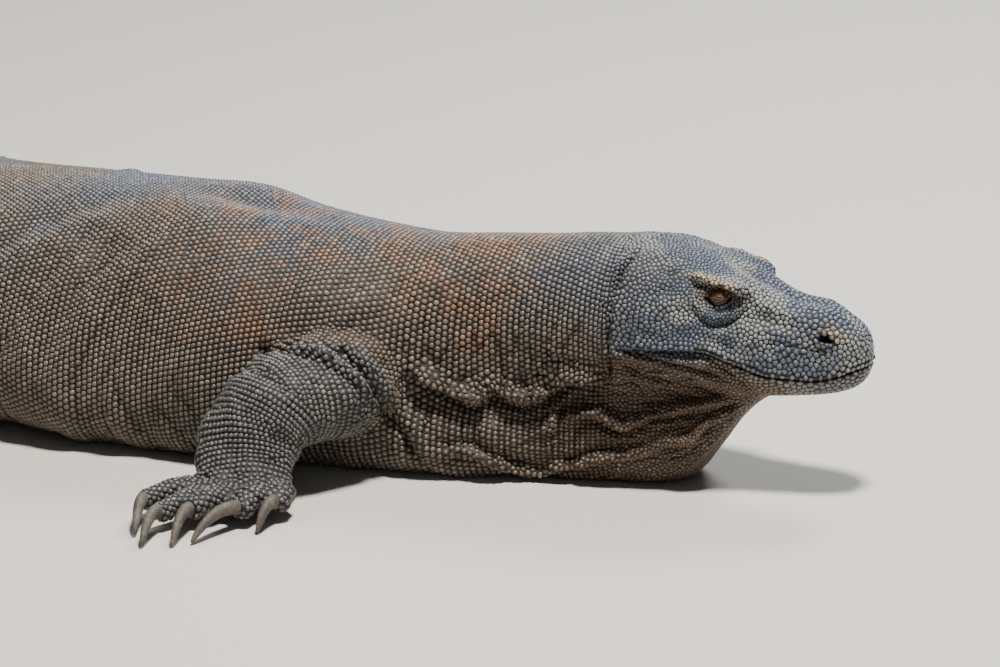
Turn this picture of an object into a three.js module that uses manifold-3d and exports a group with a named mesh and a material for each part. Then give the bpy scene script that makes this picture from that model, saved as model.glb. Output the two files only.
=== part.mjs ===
// Komodo dragon, a still, life-size museum model of a large adult male resting on its belly.
// Millimetres. +X runs from the hips to the head, +Y to the animal's left, +Z up. The floor is z = 0.
// The skin is a set of lofts along the spine and the limbs. They are joined, then parted with thin cuts
// where a person would name the parts: head, lower jaw, neck, throat, chest, belly, pelvis, tail and limbs.
import * as THREE from "three";
import { mergeVertices } from "three/addons/utils/BufferGeometryUtils.js";
import Module from "manifold-3d";

const wasm = await Module();
wasm.setup();

// ---------------------------------------------------------------- driving dimensions

const GAP = 0.3; // clearance of each parting cut
const SHEET = 0.5; // thickness of the curved parting cuts
const SHEET_REACH = 250; // how far those cuts reach to each side
const TOTAL_LENGTH = 2620; // along the spine, from the tip of the snout to the tip of the tail
const SNOUT_TIP = new THREE.Vector2(1263, 124); // plan position that centres the model on its origin
const UP = new THREE.Vector3(0, 0, 1);

// The spine seen from above: the way that the body points, in degrees from +X, at distances behind the snout.
const HEADINGS = [
  { at: 0, turn: 13 },
  { at: 230, turn: 12 },
  { at: 360, turn: 11 },
  { at: 520, turn: 8 },
  { at: 700, turn: 4 },
  { at: 900, turn: 1 },
  { at: 1150, turn: 4 },
  { at: 1400, turn: 14 },
  { at: 1700, turn: 20 },
  { at: 2000, turn: 8 },
  { at: 2300, turn: -16 },
  { at: TOTAL_LENGTH, turn: -34 },
];

// Sizes of the neck, trunk and tail at distances behind the snout: height of the back, of the widest level and
// of the underside, which is cut flat where it would pass the floor, then half the width and how square the
// flank is.
const BODY = [
  { at: 150, top: 198, mid: 146, low: 104, half: 46, square: 2 },
  { at: 200, top: 217, mid: 148, low: 88, half: 64, square: 2 },
  { at: 245, top: 220, mid: 144, low: 66, half: 70, square: 2 },
  { at: 300, top: 214, mid: 136, low: 48, half: 73, square: 2 },
  { at: 360, top: 208, mid: 116, low: 24, half: 83, square: 2.2 },
  { at: 420, top: 202, mid: 92, low: -2, half: 103, square: 2.6 },
  { at: 480, top: 204, mid: 74, low: -12, half: 126, square: 2.9 },
  { at: 550, top: 210, mid: 68, low: -13, half: 143, square: 2.9 },
  { at: 650, top: 220, mid: 68, low: -13, half: 156, square: 2.8 },
  { at: 760, top: 216, mid: 64, low: -13, half: 164, square: 2.9 },
  { at: 880, top: 209, mid: 62, low: -13, half: 165, square: 2.9 },
  { at: 1000, top: 204, mid: 64, low: -12, half: 154, square: 2.8 },
  { at: 1100, top: 198, mid: 70, low: -10, half: 130, square: 2.5 },
  { at: 1180, top: 188, mid: 74, low: -7, half: 108, square: 2.3 },
  { at: 1260, top: 170, mid: 72, low: -4, half: 87, square: 2.1 },
  { at: 1340, top: 148, mid: 65, low: -3, half: 70, square: 2 },
  { at: 1460, top: 128, mid: 56, low: -3, half: 54, square: 2 },
  { at: 1680, top: 102, mid: 44, low: -2, half: 40, square: 2 },
  { at: 1950, top: 76, mid: 33, low: -2, half: 28, square: 2 },
  { at: 2200, top: 53, mid: 23, low: -1, half: 18.5, square: 2 },
  { at: 2430, top: 32, mid: 14, low: -1, half: 11, square: 2 },
  { at: 2580, top: 17, mid: 7.5, low: -1, half: 6, square: 2 },
];
const BODY_RINGS = [
  180, 210, 245, 285, 325, 365, 405, 445, 485, 530, 590, 660, 740, 830, 920, 1000, 1070, 1130, 1190, 1250,
  1320, 1410, 1520, 1650, 1790, 1940, 2090, 2240, 2380, 2500, 2610,
];
const BODY_SIDES = 18;
const BACK_SQUARE = 2.1;

// The head, by the same measures. Its square is of the roof of the skull.
const HEAD = [
  { at: 0, top: 138, mid: 135, low: 131, half: 3, square: 2 },
  { at: 3, top: 149, mid: 134, low: 114, half: 14, square: 2 },
  { at: 10, top: 159, mid: 133, low: 104, half: 23, square: 2.1 },
  { at: 22, top: 167, mid: 132, low: 98, half: 30, square: 2.2 },
  { at: 38, top: 174, mid: 131, low: 94, half: 35.5, square: 2.2 },
  { at: 60, top: 179, mid: 131, low: 91, half: 40, square: 2.3 },
  { at: 85, top: 188, mid: 134, low: 88.5, half: 45, square: 2.5 },
  { at: 110, top: 200, mid: 138, low: 87, half: 51, square: 2.7 },
  { at: 135, top: 210, mid: 142, low: 86, half: 58, square: 2.7 },
  { at: 165, top: 219, mid: 146, low: 85, half: 66, square: 2.5 },
  { at: 195, top: 223, mid: 148, low: 84, half: 71, square: 2.3 },
  { at: 216, top: 223, mid: 147, low: 84, half: 72, square: 2.2 },
  { at: 236, top: 217, mid: 146, low: 90, half: 66, square: 2.1 },
  { at: 256, top: 198, mid: 146, low: 104, half: 46, square: 2 },
];
const HEAD_RINGS = [2, 6, 14, 26, 42, 60, 80, 100, 120, 140, 162, 188, 212, 232, 248];
const HEAD_SIDES = 20;
const CHIN_SQUARE = 2.8;

// The loose pouch of skin from the jaw to the breast, which rests on the floor.
const THROAT = [
  { at: 88, top: 104, mid: 97, low: 91, half: 10, square: 2 },
  { at: 104, top: 118, mid: 92, low: 78, half: 26, square: 2 },
  { at: 120, top: 126, mid: 84, low: 61, half: 37, square: 2.1 },
  { at: 140, top: 130, mid: 72, low: 32, half: 47, square: 2.2 },
  { at: 162, top: 132, mid: 58, low: 4, half: 52, square: 2.4 },
  { at: 195, top: 132, mid: 47, low: -8, half: 56, square: 2.4 },
  { at: 260, top: 130, mid: 43, low: -10, half: 66, square: 2.5 },
  { at: 330, top: 122, mid: 41, low: -12, half: 84, square: 2.7 },
  { at: 400, top: 112, mid: 40, low: -12, half: 104, square: 2.8 },
  { at: 460, top: 104, mid: 42, low: -12, half: 114, square: 2.8 },
  { at: 520, top: 96, mid: 44, low: -10, half: 118, square: 2.8 },
];
const THROAT_RINGS = [94, 106, 120, 136, 154, 176, 210, 260, 330, 400, 460, 505];
const THROAT_SIDES = 15;

const JAW_BACK = 186; // where the jaw ends behind the corner of the mouth
// The cut of the mouth seen from the side, to the back of the jaw: distance behind the snout and height.
const MOUTH_LINE = [
  [-12, 131],
  [0, 128],
  [14, 122],
  [34, 116],
  [58, 113],
  [84, 119],
  [108, 129],
  [134, 138],
  [168, 142],
  [JAW_BACK - 4, 140],
  [JAW_BACK, 60],
];
const MOUTH_MIDDLE = 90; // the cut runs straight along the spine's direction here
// The fold under the jaw and neck where the throat's pouch starts, and where the pouch ends at the breast.
const THROAT_LINE = [
  [60, 84],
  [96, 86],
  [222, 82],
  [330, 90],
  [425, 84],
  [430, -30],
];
const THROAT_MIDDLE = 250;

// Eye, slit between the lids, brow and nostril: distance behind the snout, half the spread between the two
// sides, height, half sizes along, across and up, and how many degrees the front end dips.
const EYE = { at: 131, spread: 42, height: 183, long: 9.5, wide: 9.5, tall: 9.5, dip: 0 };
const LID_SLIT = { at: 131, spread: 54, height: 182.5, long: 12, wide: 11, tall: 4.5, dip: 14 };
const BROW = { at: 131, spread: 37, height: 197, long: 33, wide: 11, tall: 8, dip: 14 };
const NOSTRIL = { at: 35, spread: 30, height: 155, long: 7, wide: 9, tall: 4, dip: 20 };
const ELLIPSOID_SIDES = 9;

// Cuts that part the trunk and tail, at distances behind the snout.
const BODY_PARTS = [
  { name: "head", to: 222 },
  { name: "neck", to: 425 },
  { name: "chest", to: 690 },
  { name: "abdomen", to: 1030 },
  { name: "pelvis", to: 1262 },
  { name: "tail_1", to: 1500 },
  { name: "tail_2", to: 1770 },
  { name: "tail_3", to: 2050 },
  { name: "tail_4", to: 2330 },
  { name: "tail_5", to: Infinity },
];

// Limbs. Joint centres are given for the right side, from the point under the spine at the limb's anchor, which
// is a distance behind the snout: how far ahead of it, how far out to the side and how high. Wide and tall are
// half sizes. A digit runs from its pad on the palm to its tip, where a claw starts that ends at its point on
// the floor.
const FORE = {
  anchor: 480,
  root: { ahead: 24, out: 50, z: 86, wide: 52, tall: 50 },
  upper: { ahead: 12, out: 120, z: 88, wide: 56, tall: 47 },
  hinge: { ahead: -20, out: 174, z: 82, wide: 52, tall: 42 },
  lower: { ahead: -29, out: 198, z: 58, wide: 49, tall: 37 },
  end: { ahead: -26, out: 220, z: 38, wide: 45, tall: 25 },
  palm: { ahead: -17, out: 240, z: 24, wide: 43, tall: 17 },
  parts: ["upper_arm", "forearm", "hand"],
  digits: [
    { pad: [17, 236], tip: [21, 254], point: [20, 292], thick: 14.5 },
    { pad: [3, 248], tip: [-3, 280], point: [-21, 340], thick: 14.5 },
    { pad: [-17, 256], tip: [-41, 301], point: [-33, 354], thick: 12.5 },
    { pad: [-35, 257], tip: [-64, 318], point: [-57, 366], thick: 11.5 },
    { pad: [-50, 248], tip: [-91, 292], point: [-76, 341], thick: 13.5 },
  ],
};
const HIND = {
  anchor: 1165,
  root: { ahead: -8, out: 36, z: 84, wide: 58, tall: 56 },
  upper: { ahead: 44, out: 120, z: 88, wide: 56, tall: 52 },
  hinge: { ahead: 92, out: 188, z: 82, wide: 46, tall: 40 },
  lower: { ahead: 46, out: 218, z: 58, wide: 42, tall: 36 },
  end: { ahead: 4, out: 244, z: 36, wide: 35, tall: 26 },
  palm: { ahead: 26, out: 274, z: 22, wide: 38, tall: 17 },
  parts: ["thigh", "shank", "foot"],
  digits: [
    { pad: [48, 266], tip: [78, 276], point: [118, 284], thick: 13 },
    { pad: [56, 284], tip: [102, 310], point: [148, 330], thick: 13.5 },
    { pad: [50, 298], tip: [104, 340], point: [148, 368], thick: 13.5 },
    { pad: [36, 306], tip: [86, 368], point: [124, 404], thick: 13.5 },
    { pad: [4, 292], tip: [14, 336], point: [22, 378], thick: 13 },
  ],
};
// The left limbs are the right ones mirrored, moved forward along the body and swung back a little.
const LIMBS = [
  { name: "right_fore", plan: FORE, side: -1, shift: 0, swing: 0 },
  { name: "left_fore", plan: FORE, side: 1, shift: 4, swing: 8 },
  { name: "right_hind", plan: HIND, side: -1, shift: 0, swing: 0 },
  { name: "left_hind", plan: HIND, side: 1, shift: -10, swing: 12 },
];
const LIMB_SIDES = 10;
const UPPER_RINGS = 4;
const LOWER_RINGS = 5;
const DIGIT_SIDES = 6;
// A digit's heights over the floor and half thicknesses, from the middle of the palm to its tip.
const DIGIT = {
  palm: { tall: 12 },
  pad: { height: 21, tall: 13 },
  knuckle: { height: 24, tall: 12 },
  tip: { height: 17, tall: 12.5, narrowing: 0.92 },
};
const CUTICLE = 3; // how far past its tip station a digit ends
// A claw's curve: the share of its length from the digit's tip, the height over the floor and half sizes.
const CLAW_STATIONS = [
  { share: 0, height: 19, wide: 6, tall: 7.2 },
  { share: 0.4, height: 22, wide: 5.4, tall: 6 },
  { share: 0.75, height: 14, wide: 4, tall: 4.6 },
  { share: 0.98, height: 2, wide: 1.5, tall: 2 },
];
const CLAW_SIDES = 5;
const ROUND_END = 0.45; // how far a limb's rounded end stands out, as a share of its half thickness

// ---------------------------------------------------------------- smooth tables and the spine

/** A smooth function through the named size of a table's rows, which never overshoots them. */
function sizeAlong(rows, key) {
  const n = rows.length;
  const rises = rows.slice(1).map((row, i) => (row[key] - rows[i][key]) / (row.at - rows[i].at));
  const slopes = rows.map((_, i) => {
    if (i === 0) return rises[0];
    if (i === n - 1) return rises[n - 2];
    const product = rises[i - 1] * rises[i];
    return product <= 0 ? 0 : (2 * product) / (rises[i - 1] + rises[i]);
  });
  return (at) => {
    let i = 0;
    while (i < n - 2 && at > rows[i + 1].at) i += 1;
    const step = rows[i + 1].at - rows[i].at;
    const t = THREE.MathUtils.clamp((at - rows[i].at) / step, 0, 1);
    const sizes = rows[i][key] * (1 + 2 * t) * (1 - t) ** 2 + rows[i + 1][key] * t * t * (3 - 2 * t);
    return sizes + step * (slopes[i] * t * (1 - t) ** 2 - slopes[i + 1] * t * t * (1 - t));
  };
}

/** A table of rows as functions of the distance behind the snout, one for each named size. */
function table(rows) {
  const keys = Object.keys(rows[0]).filter((key) => key !== "at");
  return Object.fromEntries(keys.map((key) => [key, sizeAlong(rows, key)]));
}

const heading = sizeAlong(HEADINGS, "turn");
const SPINE_STEP = 10;
const spinePoints = [SNOUT_TIP.clone()];
for (let at = 0; at < TOTAL_LENGTH + 3 * SPINE_STEP; at += SPINE_STEP) {
  const turn = THREE.MathUtils.degToRad(heading(at + SPINE_STEP / 2));
  const last = spinePoints[spinePoints.length - 1];
  const forward = new THREE.Vector2(Math.cos(turn), Math.sin(turn));
  spinePoints.push(last.clone().addScaledVector(forward, -SPINE_STEP));
}

/** The point on the floor under the spine, and the forward and rightward directions there. */
function spineAt(at) {
  const place = THREE.MathUtils.clamp(at / SPINE_STEP, 0, spinePoints.length - 2);
  const i = Math.floor(place);
  const plan = spinePoints[i].clone().lerp(spinePoints[i + 1], place - i);
  const turn = THREE.MathUtils.degToRad(heading(at));
  return {
    point: new THREE.Vector3(plan.x, plan.y, 0),
    forward: new THREE.Vector3(Math.cos(turn), Math.sin(turn), 0),
    right: new THREE.Vector3(Math.sin(turn), -Math.cos(turn), 0),
  };
}

/** The point at a distance behind the snout, a distance out to one side (-1 right, 1 left) and a height. */
function besideSpine(at, out, height, side = -1) {
  const { point, right } = spineAt(at);
  return point.addScaledVector(right, -side * out).addScaledVector(UP, height);
}

// ---------------------------------------------------------------- solids

/** Turns a closed geometry into a manifold solid. */
function solidOf(geometry) {
  const bare = geometry.clone();
  bare.deleteAttribute("normal");
  bare.deleteAttribute("uv");
  const merged = mergeVertices(bare, 1e-3);
  return new wasm.Manifold(
    new wasm.Mesh({
      numProp: 3,
      vertProperties: new Float32Array(merged.attributes.position.array),
      triVerts: new Uint32Array(merged.index.array),
    }),
  );
}

/**
 * A closed skin over rings: a sphere's rows become the rings, and its two poles the ends.
 * ringPoint(k, angle) is on ring k, where angle runs from the left over the top to the right and under.
 */
function loft(rings, sides, ringPoint, front, back) {
  const geometry = new THREE.SphereGeometry(1, sides, rings + 1);
  const places = geometry.attributes.position;
  for (let row = 0; row <= rings + 1; row += 1) {
    for (let column = 0; column <= sides; column += 1) {
      const angle = (2 * Math.PI * (column % sides)) / sides;
      const ends = row === 0 ? front : back;
      const point = row === 0 || row === rings + 1 ? ends : ringPoint(row - 1, angle);
      places.setXYZ(row * (sides + 1) + column, point.x, point.y, point.z);
    }
  }
  return solidOf(geometry);
}

const POLE = 2; // how far a loft's pointed ends stand beyond its first and last rings
const power = (value, exponent) => Math.sign(value) * Math.abs(value) ** exponent;

/**
 * A loft along the spine from a table of sizes, made larger all round by grow. The roof and the underside are
 * as square as tops and lows say, or as the table does.
 */
function spineLoft(rows, rings, sides, { tops, lows, grow = 0 }) {
  const size = table(rows);
  const ringPoint = (k, angle) => {
    const at = rings[k];
    const upper = Math.sin(angle) >= 0;
    const roundness = 2 / ((upper ? tops : lows) ?? size.square(at));
    const reach = upper ? size.top(at) - size.mid(at) : size.mid(at) - size.low(at);
    const out = (size.half(at) + grow) * power(Math.cos(angle), roundness);
    const rise = (reach + grow) * power(Math.sin(angle), roundness);
    return besideSpine(at, out, size.mid(at) + rise, 1);
  };
  const pole = (ring, beyond) => besideSpine(ring + beyond, 0, size.mid(ring));
  const last = rings[rings.length - 1];
  return loft(rings.length, sides, ringPoint, pole(rings[0], -POLE - grow), pole(last, POLE + grow));
}

/** A loft along a curve through stations {point, wide, tall}, with rounded ends. */
function limbLoft(stations, rings, sides) {
  const points = stations.map((station) => station.point);
  const path = new THREE.CatmullRomCurve3(points, false, "centripetal");
  const sizeAt = (key, t) => {
    const place = t * (stations.length - 1);
    const i = Math.min(Math.floor(place), stations.length - 2);
    return THREE.MathUtils.lerp(stations[i][key], stations[i + 1][key], place - i);
  };
  const ringPoint = (k, angle) => {
    const t = k / (rings - 1);
    const along = path.getTangent(t);
    const right = new THREE.Vector3().crossVectors(along, UP).normalize();
    const over = new THREE.Vector3().crossVectors(right, along);
    return path
      .getPoint(t)
      .addScaledVector(right, sizeAt("wide", t) * Math.cos(angle))
      .addScaledVector(over, sizeAt("tall", t) * Math.sin(angle));
  };
  const pole = (t, sign) => {
    const depth = sign * ROUND_END * Math.min(sizeAt("wide", t), sizeAt("tall", t));
    return path.getPoint(t).addScaledVector(path.getTangent(t), depth);
  };
  return loft(rings, sides, ringPoint, pole(0, -1), pole(1, 1));
}

/** An ellipsoid on one side of the head, set along the spine's direction and made larger by grow. */
function spineEllipsoid({ at, spread, height, long, wide, tall, dip }, side, grow = 0) {
  const shape = new THREE.SphereGeometry(1, ELLIPSOID_SIDES, ELLIPSOID_SIDES - 3);
  const { forward } = spineAt(at);
  const matrix = new THREE.Matrix4()
    .makeTranslation(besideSpine(at, spread, height, side))
    .multiply(new THREE.Matrix4().makeRotationZ(Math.atan2(forward.y, forward.x)))
    .multiply(new THREE.Matrix4().makeRotationY(THREE.MathUtils.degToRad(dip)))
    .multiply(new THREE.Matrix4().makeScale(long + grow, wide + grow, tall + grow));
  return solidOf(shape.applyMatrix4(matrix));
}

/** Keeps what is over the floor. */
const onFloor = (solid) => solid.trimByPlane([0, 0, 1], 0);

/** The larger of a solid's separate pieces, which drops slivers left by a cut. */
function mainPiece(solid) {
  return solid.decompose().reduce((best, piece) => (piece.volume() > best.volume() ? piece : best));
}

/** Parts a solid at a plane, with the gap between the part behind the normal and the part before it. */
function partAt(solid, point, normal) {
  const place = normal.dot(point);
  const before = solid.trimByPlane([normal.x, normal.y, normal.z], place + GAP / 2);
  const behind = solid.trimByPlane([-normal.x, -normal.y, -normal.z], GAP / 2 - place);
  return [behind, before];
}

// ---------------------------------------------------------------- head, trunk and throat

/** The skull, neck, trunk and tail as one solid, made larger all round by grow. */
function coreSolid(grow) {
  const head = spineLoft(HEAD, HEAD_RINGS, HEAD_SIDES, { lows: CHIN_SQUARE, grow });
  const body = spineLoft(BODY, BODY_RINGS, BODY_SIDES, { tops: BACK_SQUARE, grow });
  const brows = [-1, 1].map((side) => spineEllipsoid(BROW, side, grow));
  return onFloor(brows.reduce((solid, brow) => solid.add(brow), head.add(body)));
}

const throatSolid = (grow) => onFloor(spineLoft(THROAT, THROAT_RINGS, THROAT_SIDES, { tops: 2, grow }));

/** A thin sheet, as deep as the animal is wide, along a line of [distance behind the snout, height] points. */
function partingSheet(line, middle) {
  const points = line.map(([at, height]) => new THREE.Vector2(middle - at, height));
  const offset = (sign) =>
    points.map((point, i) => {
      const before = points[Math.max(i - 1, 0)];
      const along = points[Math.min(i + 1, points.length - 1)].clone().sub(before).normalize();
      return new THREE.Vector2(-along.y, along.x).multiplyScalar((sign * SHEET) / 2).add(point);
    });
  const shape = new THREE.Shape([...offset(1), ...offset(-1).reverse()]);
  const sheet = new THREE.ExtrudeGeometry(shape, { depth: 2 * SHEET_REACH, bevelEnabled: false });
  const { forward, right } = spineAt(middle);
  // The outline's x runs forward and its y up.
  const start = besideSpine(middle, 0, 0).addScaledVector(right, -SHEET_REACH);
  sheet.applyMatrix4(new THREE.Matrix4().makeBasis(forward, UP, right).setPosition(start));
  return solidOf(sheet);
}

/** The two largest pieces that a sheet parts a solid into, the larger first. */
function partBySheet(solid, sheet) {
  const pieces = solid.subtract(sheet).decompose();
  return pieces.sort((a, b) => b.volume() - a.volume()).slice(0, 2);
}

const solids = new Map();
const grownCore = coreSolid(GAP);
const grownThroat = throatSolid(GAP);
const [frame, throat] = partBySheet(coreSolid(0).add(throatSolid(0)), partingSheet(THROAT_LINE, THROAT_MIDDLE));
solids.set("throat", throat);

let rest = frame;
for (const { name, to } of BODY_PARTS) {
  const { point, forward } = spineAt(to);
  const [behind, before] = to === Infinity ? [null, rest] : partAt(rest, point, forward);
  solids.set(name, mainPiece(before));
  rest = behind;
}

let face = solids.get("head");
for (const side of [-1, 1]) {
  for (const hollow of [LID_SLIT, NOSTRIL]) face = face.subtract(spineEllipsoid(hollow, side));
  face = face.subtract(spineEllipsoid(EYE, side, GAP));
  solids.set(side < 0 ? "eye_right" : "eye_left", spineEllipsoid(EYE, side));
}
const [skull, jaw] = partBySheet(face, partingSheet(MOUTH_LINE, MOUTH_MIDDLE));
solids.set("head", skull);
solids.set("lower_jaw", jaw);

// ---------------------------------------------------------------- limbs

/** Places a limb's own point on its side of the body: mirrored, moved along and swung about its root. */
function limbPlace({ plan, side, shift, swing }, { ahead, out, z = 0 }) {
  const turn = THREE.MathUtils.degToRad(swing);
  const along = ahead - plan.root.ahead;
  const outward = out - plan.root.out;
  const swungAhead = plan.root.ahead + along * Math.cos(turn) - outward * Math.sin(turn) + shift;
  const swungOut = plan.root.out + along * Math.sin(turn) + outward * Math.cos(turn);
  const { forward } = spineAt(plan.anchor);
  return besideSpine(plan.anchor, swungOut, z, side).addScaledVector(forward, swungAhead);
}

/** A place {pad, tip or point} of a limb's digit, at a height. */
function digitPlace(limb, i, key, z = 0) {
  const [ahead, out] = limb.plan.digits[i][key];
  return limbPlace(limb, { ahead, out, z });
}

/** The plane where a digit ends and its claw starts, square to the claw. */
function cuticle(limb, i) {
  const tip = digitPlace(limb, i, "tip");
  const normal = digitPlace(limb, i, "point").sub(tip).normalize();
  return { point: tip.addScaledVector(normal, CUTICLE), normal };
}

/** One digit: an arched tube from the palm to the root of its claw. */
function digitSolid(limb, i) {
  const { thick } = limb.plan.digits[i];
  const { palm, pad, knuckle, tip } = DIGIT;
  const padPoint = digitPlace(limb, i, "pad", pad.height);
  const tipPoint = digitPlace(limb, i, "tip", tip.height);
  const stations = [
    { point: limbPlace(limb, limb.plan.palm), wide: thick, tall: palm.tall },
    { point: padPoint, wide: thick, tall: pad.tall },
    { point: padPoint.clone().lerp(tipPoint, 0.5).setZ(knuckle.height), wide: thick, tall: knuckle.tall },
    { point: tipPoint, wide: thick * tip.narrowing, tall: tip.tall },
  ];
  const { point, normal } = cuticle(limb, i);
  return partAt(limbLoft(stations, stations.length, DIGIT_SIDES), point, normal)[0];
}

/** One claw: a cone bent down from the tip of its digit to the floor. */
function clawSolid(limb, i) {
  const root = digitPlace(limb, i, "tip");
  const end = digitPlace(limb, i, "point");
  const stations = CLAW_STATIONS.map(({ share, height, wide, tall }) => ({
    point: root.clone().lerp(end, share).setZ(height),
    wide,
    tall,
  }));
  const { point, normal } = cuticle(limb, i);
  return onFloor(partAt(limbLoft(stations, stations.length, CLAW_SIDES), point, normal)[1]);
}

/** The whole limb without its claws. */
function limbSolid(limb) {
  const { plan } = limb;
  const chain = (joints, rings) => {
    const stations = joints.map((joint) => ({ ...joint, point: limbPlace(limb, joint) }));
    return limbLoft(stations, rings, LIMB_SIDES);
  };
  const upper = chain([plan.root, plan.upper, plan.hinge], UPPER_RINGS);
  const lower = chain([plan.hinge, plan.lower, plan.end, plan.palm], LOWER_RINGS);
  const digits = plan.digits.map((_, i) => digitSolid(limb, i));
  return onFloor(digits.reduce((solid, digit) => solid.add(digit), upper.add(lower)));
}

/** Parts a limb half-way round a joint, square to the line between the joints before and after it. */
function partAtJoint(limb, solid, before, joint, after) {
  const normal = limbPlace(limb, after).sub(limbPlace(limb, before)).normalize();
  return partAt(solid, limbPlace(limb, joint), normal).map(mainPiece);
}

for (const limb of LIMBS) {
  const { plan, name } = limb;
  const whole = limbSolid(limb).subtract(grownCore).subtract(grownThroat);
  const [upper, outer] = partAtJoint(limb, whole, plan.upper, plan.hinge, plan.lower);
  const [lower, end] = partAtJoint(limb, outer, plan.lower, plan.end, plan.palm);
  [upper, lower, end].forEach((piece, i) => solids.set(`${name}_${plan.parts[i]}`, piece));
  plan.digits.forEach((_, i) => solids.set(`${name}_claw_${i + 1}`, clawSolid(limb, i)));
}

// ---------------------------------------------------------------- named meshes

const HIDE = new THREE.MeshStandardMaterial({ color: 0x5b564f, roughness: 0.72, metalness: 0 });
const HEAD_HIDE = new THREE.MeshStandardMaterial({ color: 0x6a6f76, roughness: 0.68, metalness: 0 });
const THROAT_HIDE = new THREE.MeshStandardMaterial({ color: 0x5a4632, roughness: 0.75, metalness: 0 });
const EYE_GLASS = new THREE.MeshStandardMaterial({ color: 0x1c120a, roughness: 0.08, metalness: 0 });
const HORN = new THREE.MeshStandardMaterial({ color: 0x6f685c, roughness: 0.45, metalness: 0 });

/** The material of a node, by its name. */
function materialOf(name) {
  if (name.startsWith("eye")) return EYE_GLASS;
  if (name.includes("claw")) return HORN;
  if (name === "throat") return THROAT_HIDE;
  return name === "head" || name === "lower_jaw" ? HEAD_HIDE : HIDE;
}

/** A named mesh from a manifold solid. */
function meshOf(name, solid) {
  const { vertProperties, triVerts, numProp } = solid.getMesh();
  const places = new Float32Array((vertProperties.length / numProp) * 3);
  for (let i = 0; i < places.length / 3; i += 1) {
    places.set(vertProperties.subarray(i * numProp, i * numProp + 3), i * 3);
  }
  const geometry = new THREE.BufferGeometry();
  geometry.setAttribute("position", new THREE.BufferAttribute(places, 3));
  geometry.setIndex(new THREE.BufferAttribute(new Uint32Array(triVerts), 1));
  geometry.computeVertexNormals();
  const mesh = new THREE.Mesh(geometry, materialOf(name));
  mesh.name = name;
  return mesh;
}

const dragon = new THREE.Group();
for (const [name, solid] of solids) dragon.add(meshOf(name, solid));

export default dragon;
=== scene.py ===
"""Looks of the Komodo dragon: one skin over the flesh, a coat of solid scales, eyes, claws and a studio.

Lengths in the tables are millimetres, as in the part's source. Meshes are metres, in the frame of the part:
+X runs from the hips to the head, +Y to the animal's left, +Z up, and the floor is z = 0.
"""

from __future__ import annotations

import logging
import math
from dataclasses import dataclass
from enum import Enum
from itertools import product
from typing import Callable, Iterable, Sequence

import bmesh
import bpy
import numpy as np
from mathutils import Euler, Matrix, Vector, noise
from mathutils.bvhtree import BVHTree
from mathutils.kdtree import KDTree


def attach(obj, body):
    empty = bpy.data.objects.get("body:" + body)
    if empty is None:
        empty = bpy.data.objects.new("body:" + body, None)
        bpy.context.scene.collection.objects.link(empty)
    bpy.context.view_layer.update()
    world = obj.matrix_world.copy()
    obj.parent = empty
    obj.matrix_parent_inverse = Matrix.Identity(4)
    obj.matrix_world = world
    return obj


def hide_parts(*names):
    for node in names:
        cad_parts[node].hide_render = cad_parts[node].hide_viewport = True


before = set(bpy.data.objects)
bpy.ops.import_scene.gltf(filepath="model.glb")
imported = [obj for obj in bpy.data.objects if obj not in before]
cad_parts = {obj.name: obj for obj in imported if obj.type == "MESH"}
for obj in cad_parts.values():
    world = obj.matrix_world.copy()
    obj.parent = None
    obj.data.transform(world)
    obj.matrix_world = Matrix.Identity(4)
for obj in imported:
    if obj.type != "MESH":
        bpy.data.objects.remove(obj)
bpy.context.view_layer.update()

logging.basicConfig(level=logging.INFO, format="%(message)s")
log = logging.getLogger("dragon")

Array = np.ndarray
MM = 0.001
COAT = 1.5  # how deep the skin lies under the solids
FLOOR_REST = 1.3  # how high the skin of the belly lies over the floor
LENGTH = 2620.0  # along the spine, snout to tail
UP_AXIS = np.array([0.0, 0.0, 1.0])


# -------------------- tables
HEADINGS = (
    (0, 13), (230, 12), (360, 11), (520, 8), (700, 4), (900, 1), (1150, 4), (1400, 14), (1700, 20),
    (2000, 8), (2300, -16), (2620, -34),
)
SIZES = ("top", "mid", "low", "half", "square")
BODY = (
    (150, 198, 146, 104, 46, 2), (200, 217, 148, 88, 64, 2), (245, 220, 144, 66, 70, 2),
    (300, 214, 136, 48, 73, 2), (360, 208, 116, 24, 83, 2.2), (420, 202, 92, -2, 103, 2.6),
    (480, 204, 74, -12, 126, 2.9), (550, 210, 68, -13, 143, 2.9), (650, 220, 68, -13, 156, 2.8),
    (760, 216, 64, -13, 164, 2.9), (880, 209, 62, -13, 165, 2.9), (1000, 204, 64, -12, 154, 2.8),
    (1100, 198, 70, -10, 130, 2.5), (1180, 188, 74, -7, 108, 2.3), (1260, 170, 72, -4, 87, 2.1),
    (1340, 148, 65, -3, 70, 2), (1460, 128, 56, -3, 54, 2), (1680, 102, 44, -2, 40, 2),
    (1950, 76, 33, -2, 28, 2), (2200, 53, 23, -1, 18.5, 2), (2430, 32, 14, -1, 11, 2),
    (2580, 17, 7.5, -1, 6, 2),
)
HEAD = (
    (0, 138, 135, 131, 3, 2), (3, 149, 134, 114, 14, 2), (10, 159, 133, 104, 23, 2.1),
    (22, 167, 132, 98, 30, 2.2), (38, 174, 131, 94, 35.5, 2.2), (60, 179, 131, 91, 40, 2.3),
    (85, 188, 134, 88.5, 45, 2.5), (110, 200, 138, 87, 51, 2.7), (135, 210, 142, 86, 58, 2.7),
    (165, 219, 146, 85, 66, 2.5), (195, 223, 148, 84, 71, 2.3), (216, 223, 147, 84, 72, 2.2),
    (236, 217, 146, 90, 66, 2.1), (256, 198, 146, 104, 46, 2),
)
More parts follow.
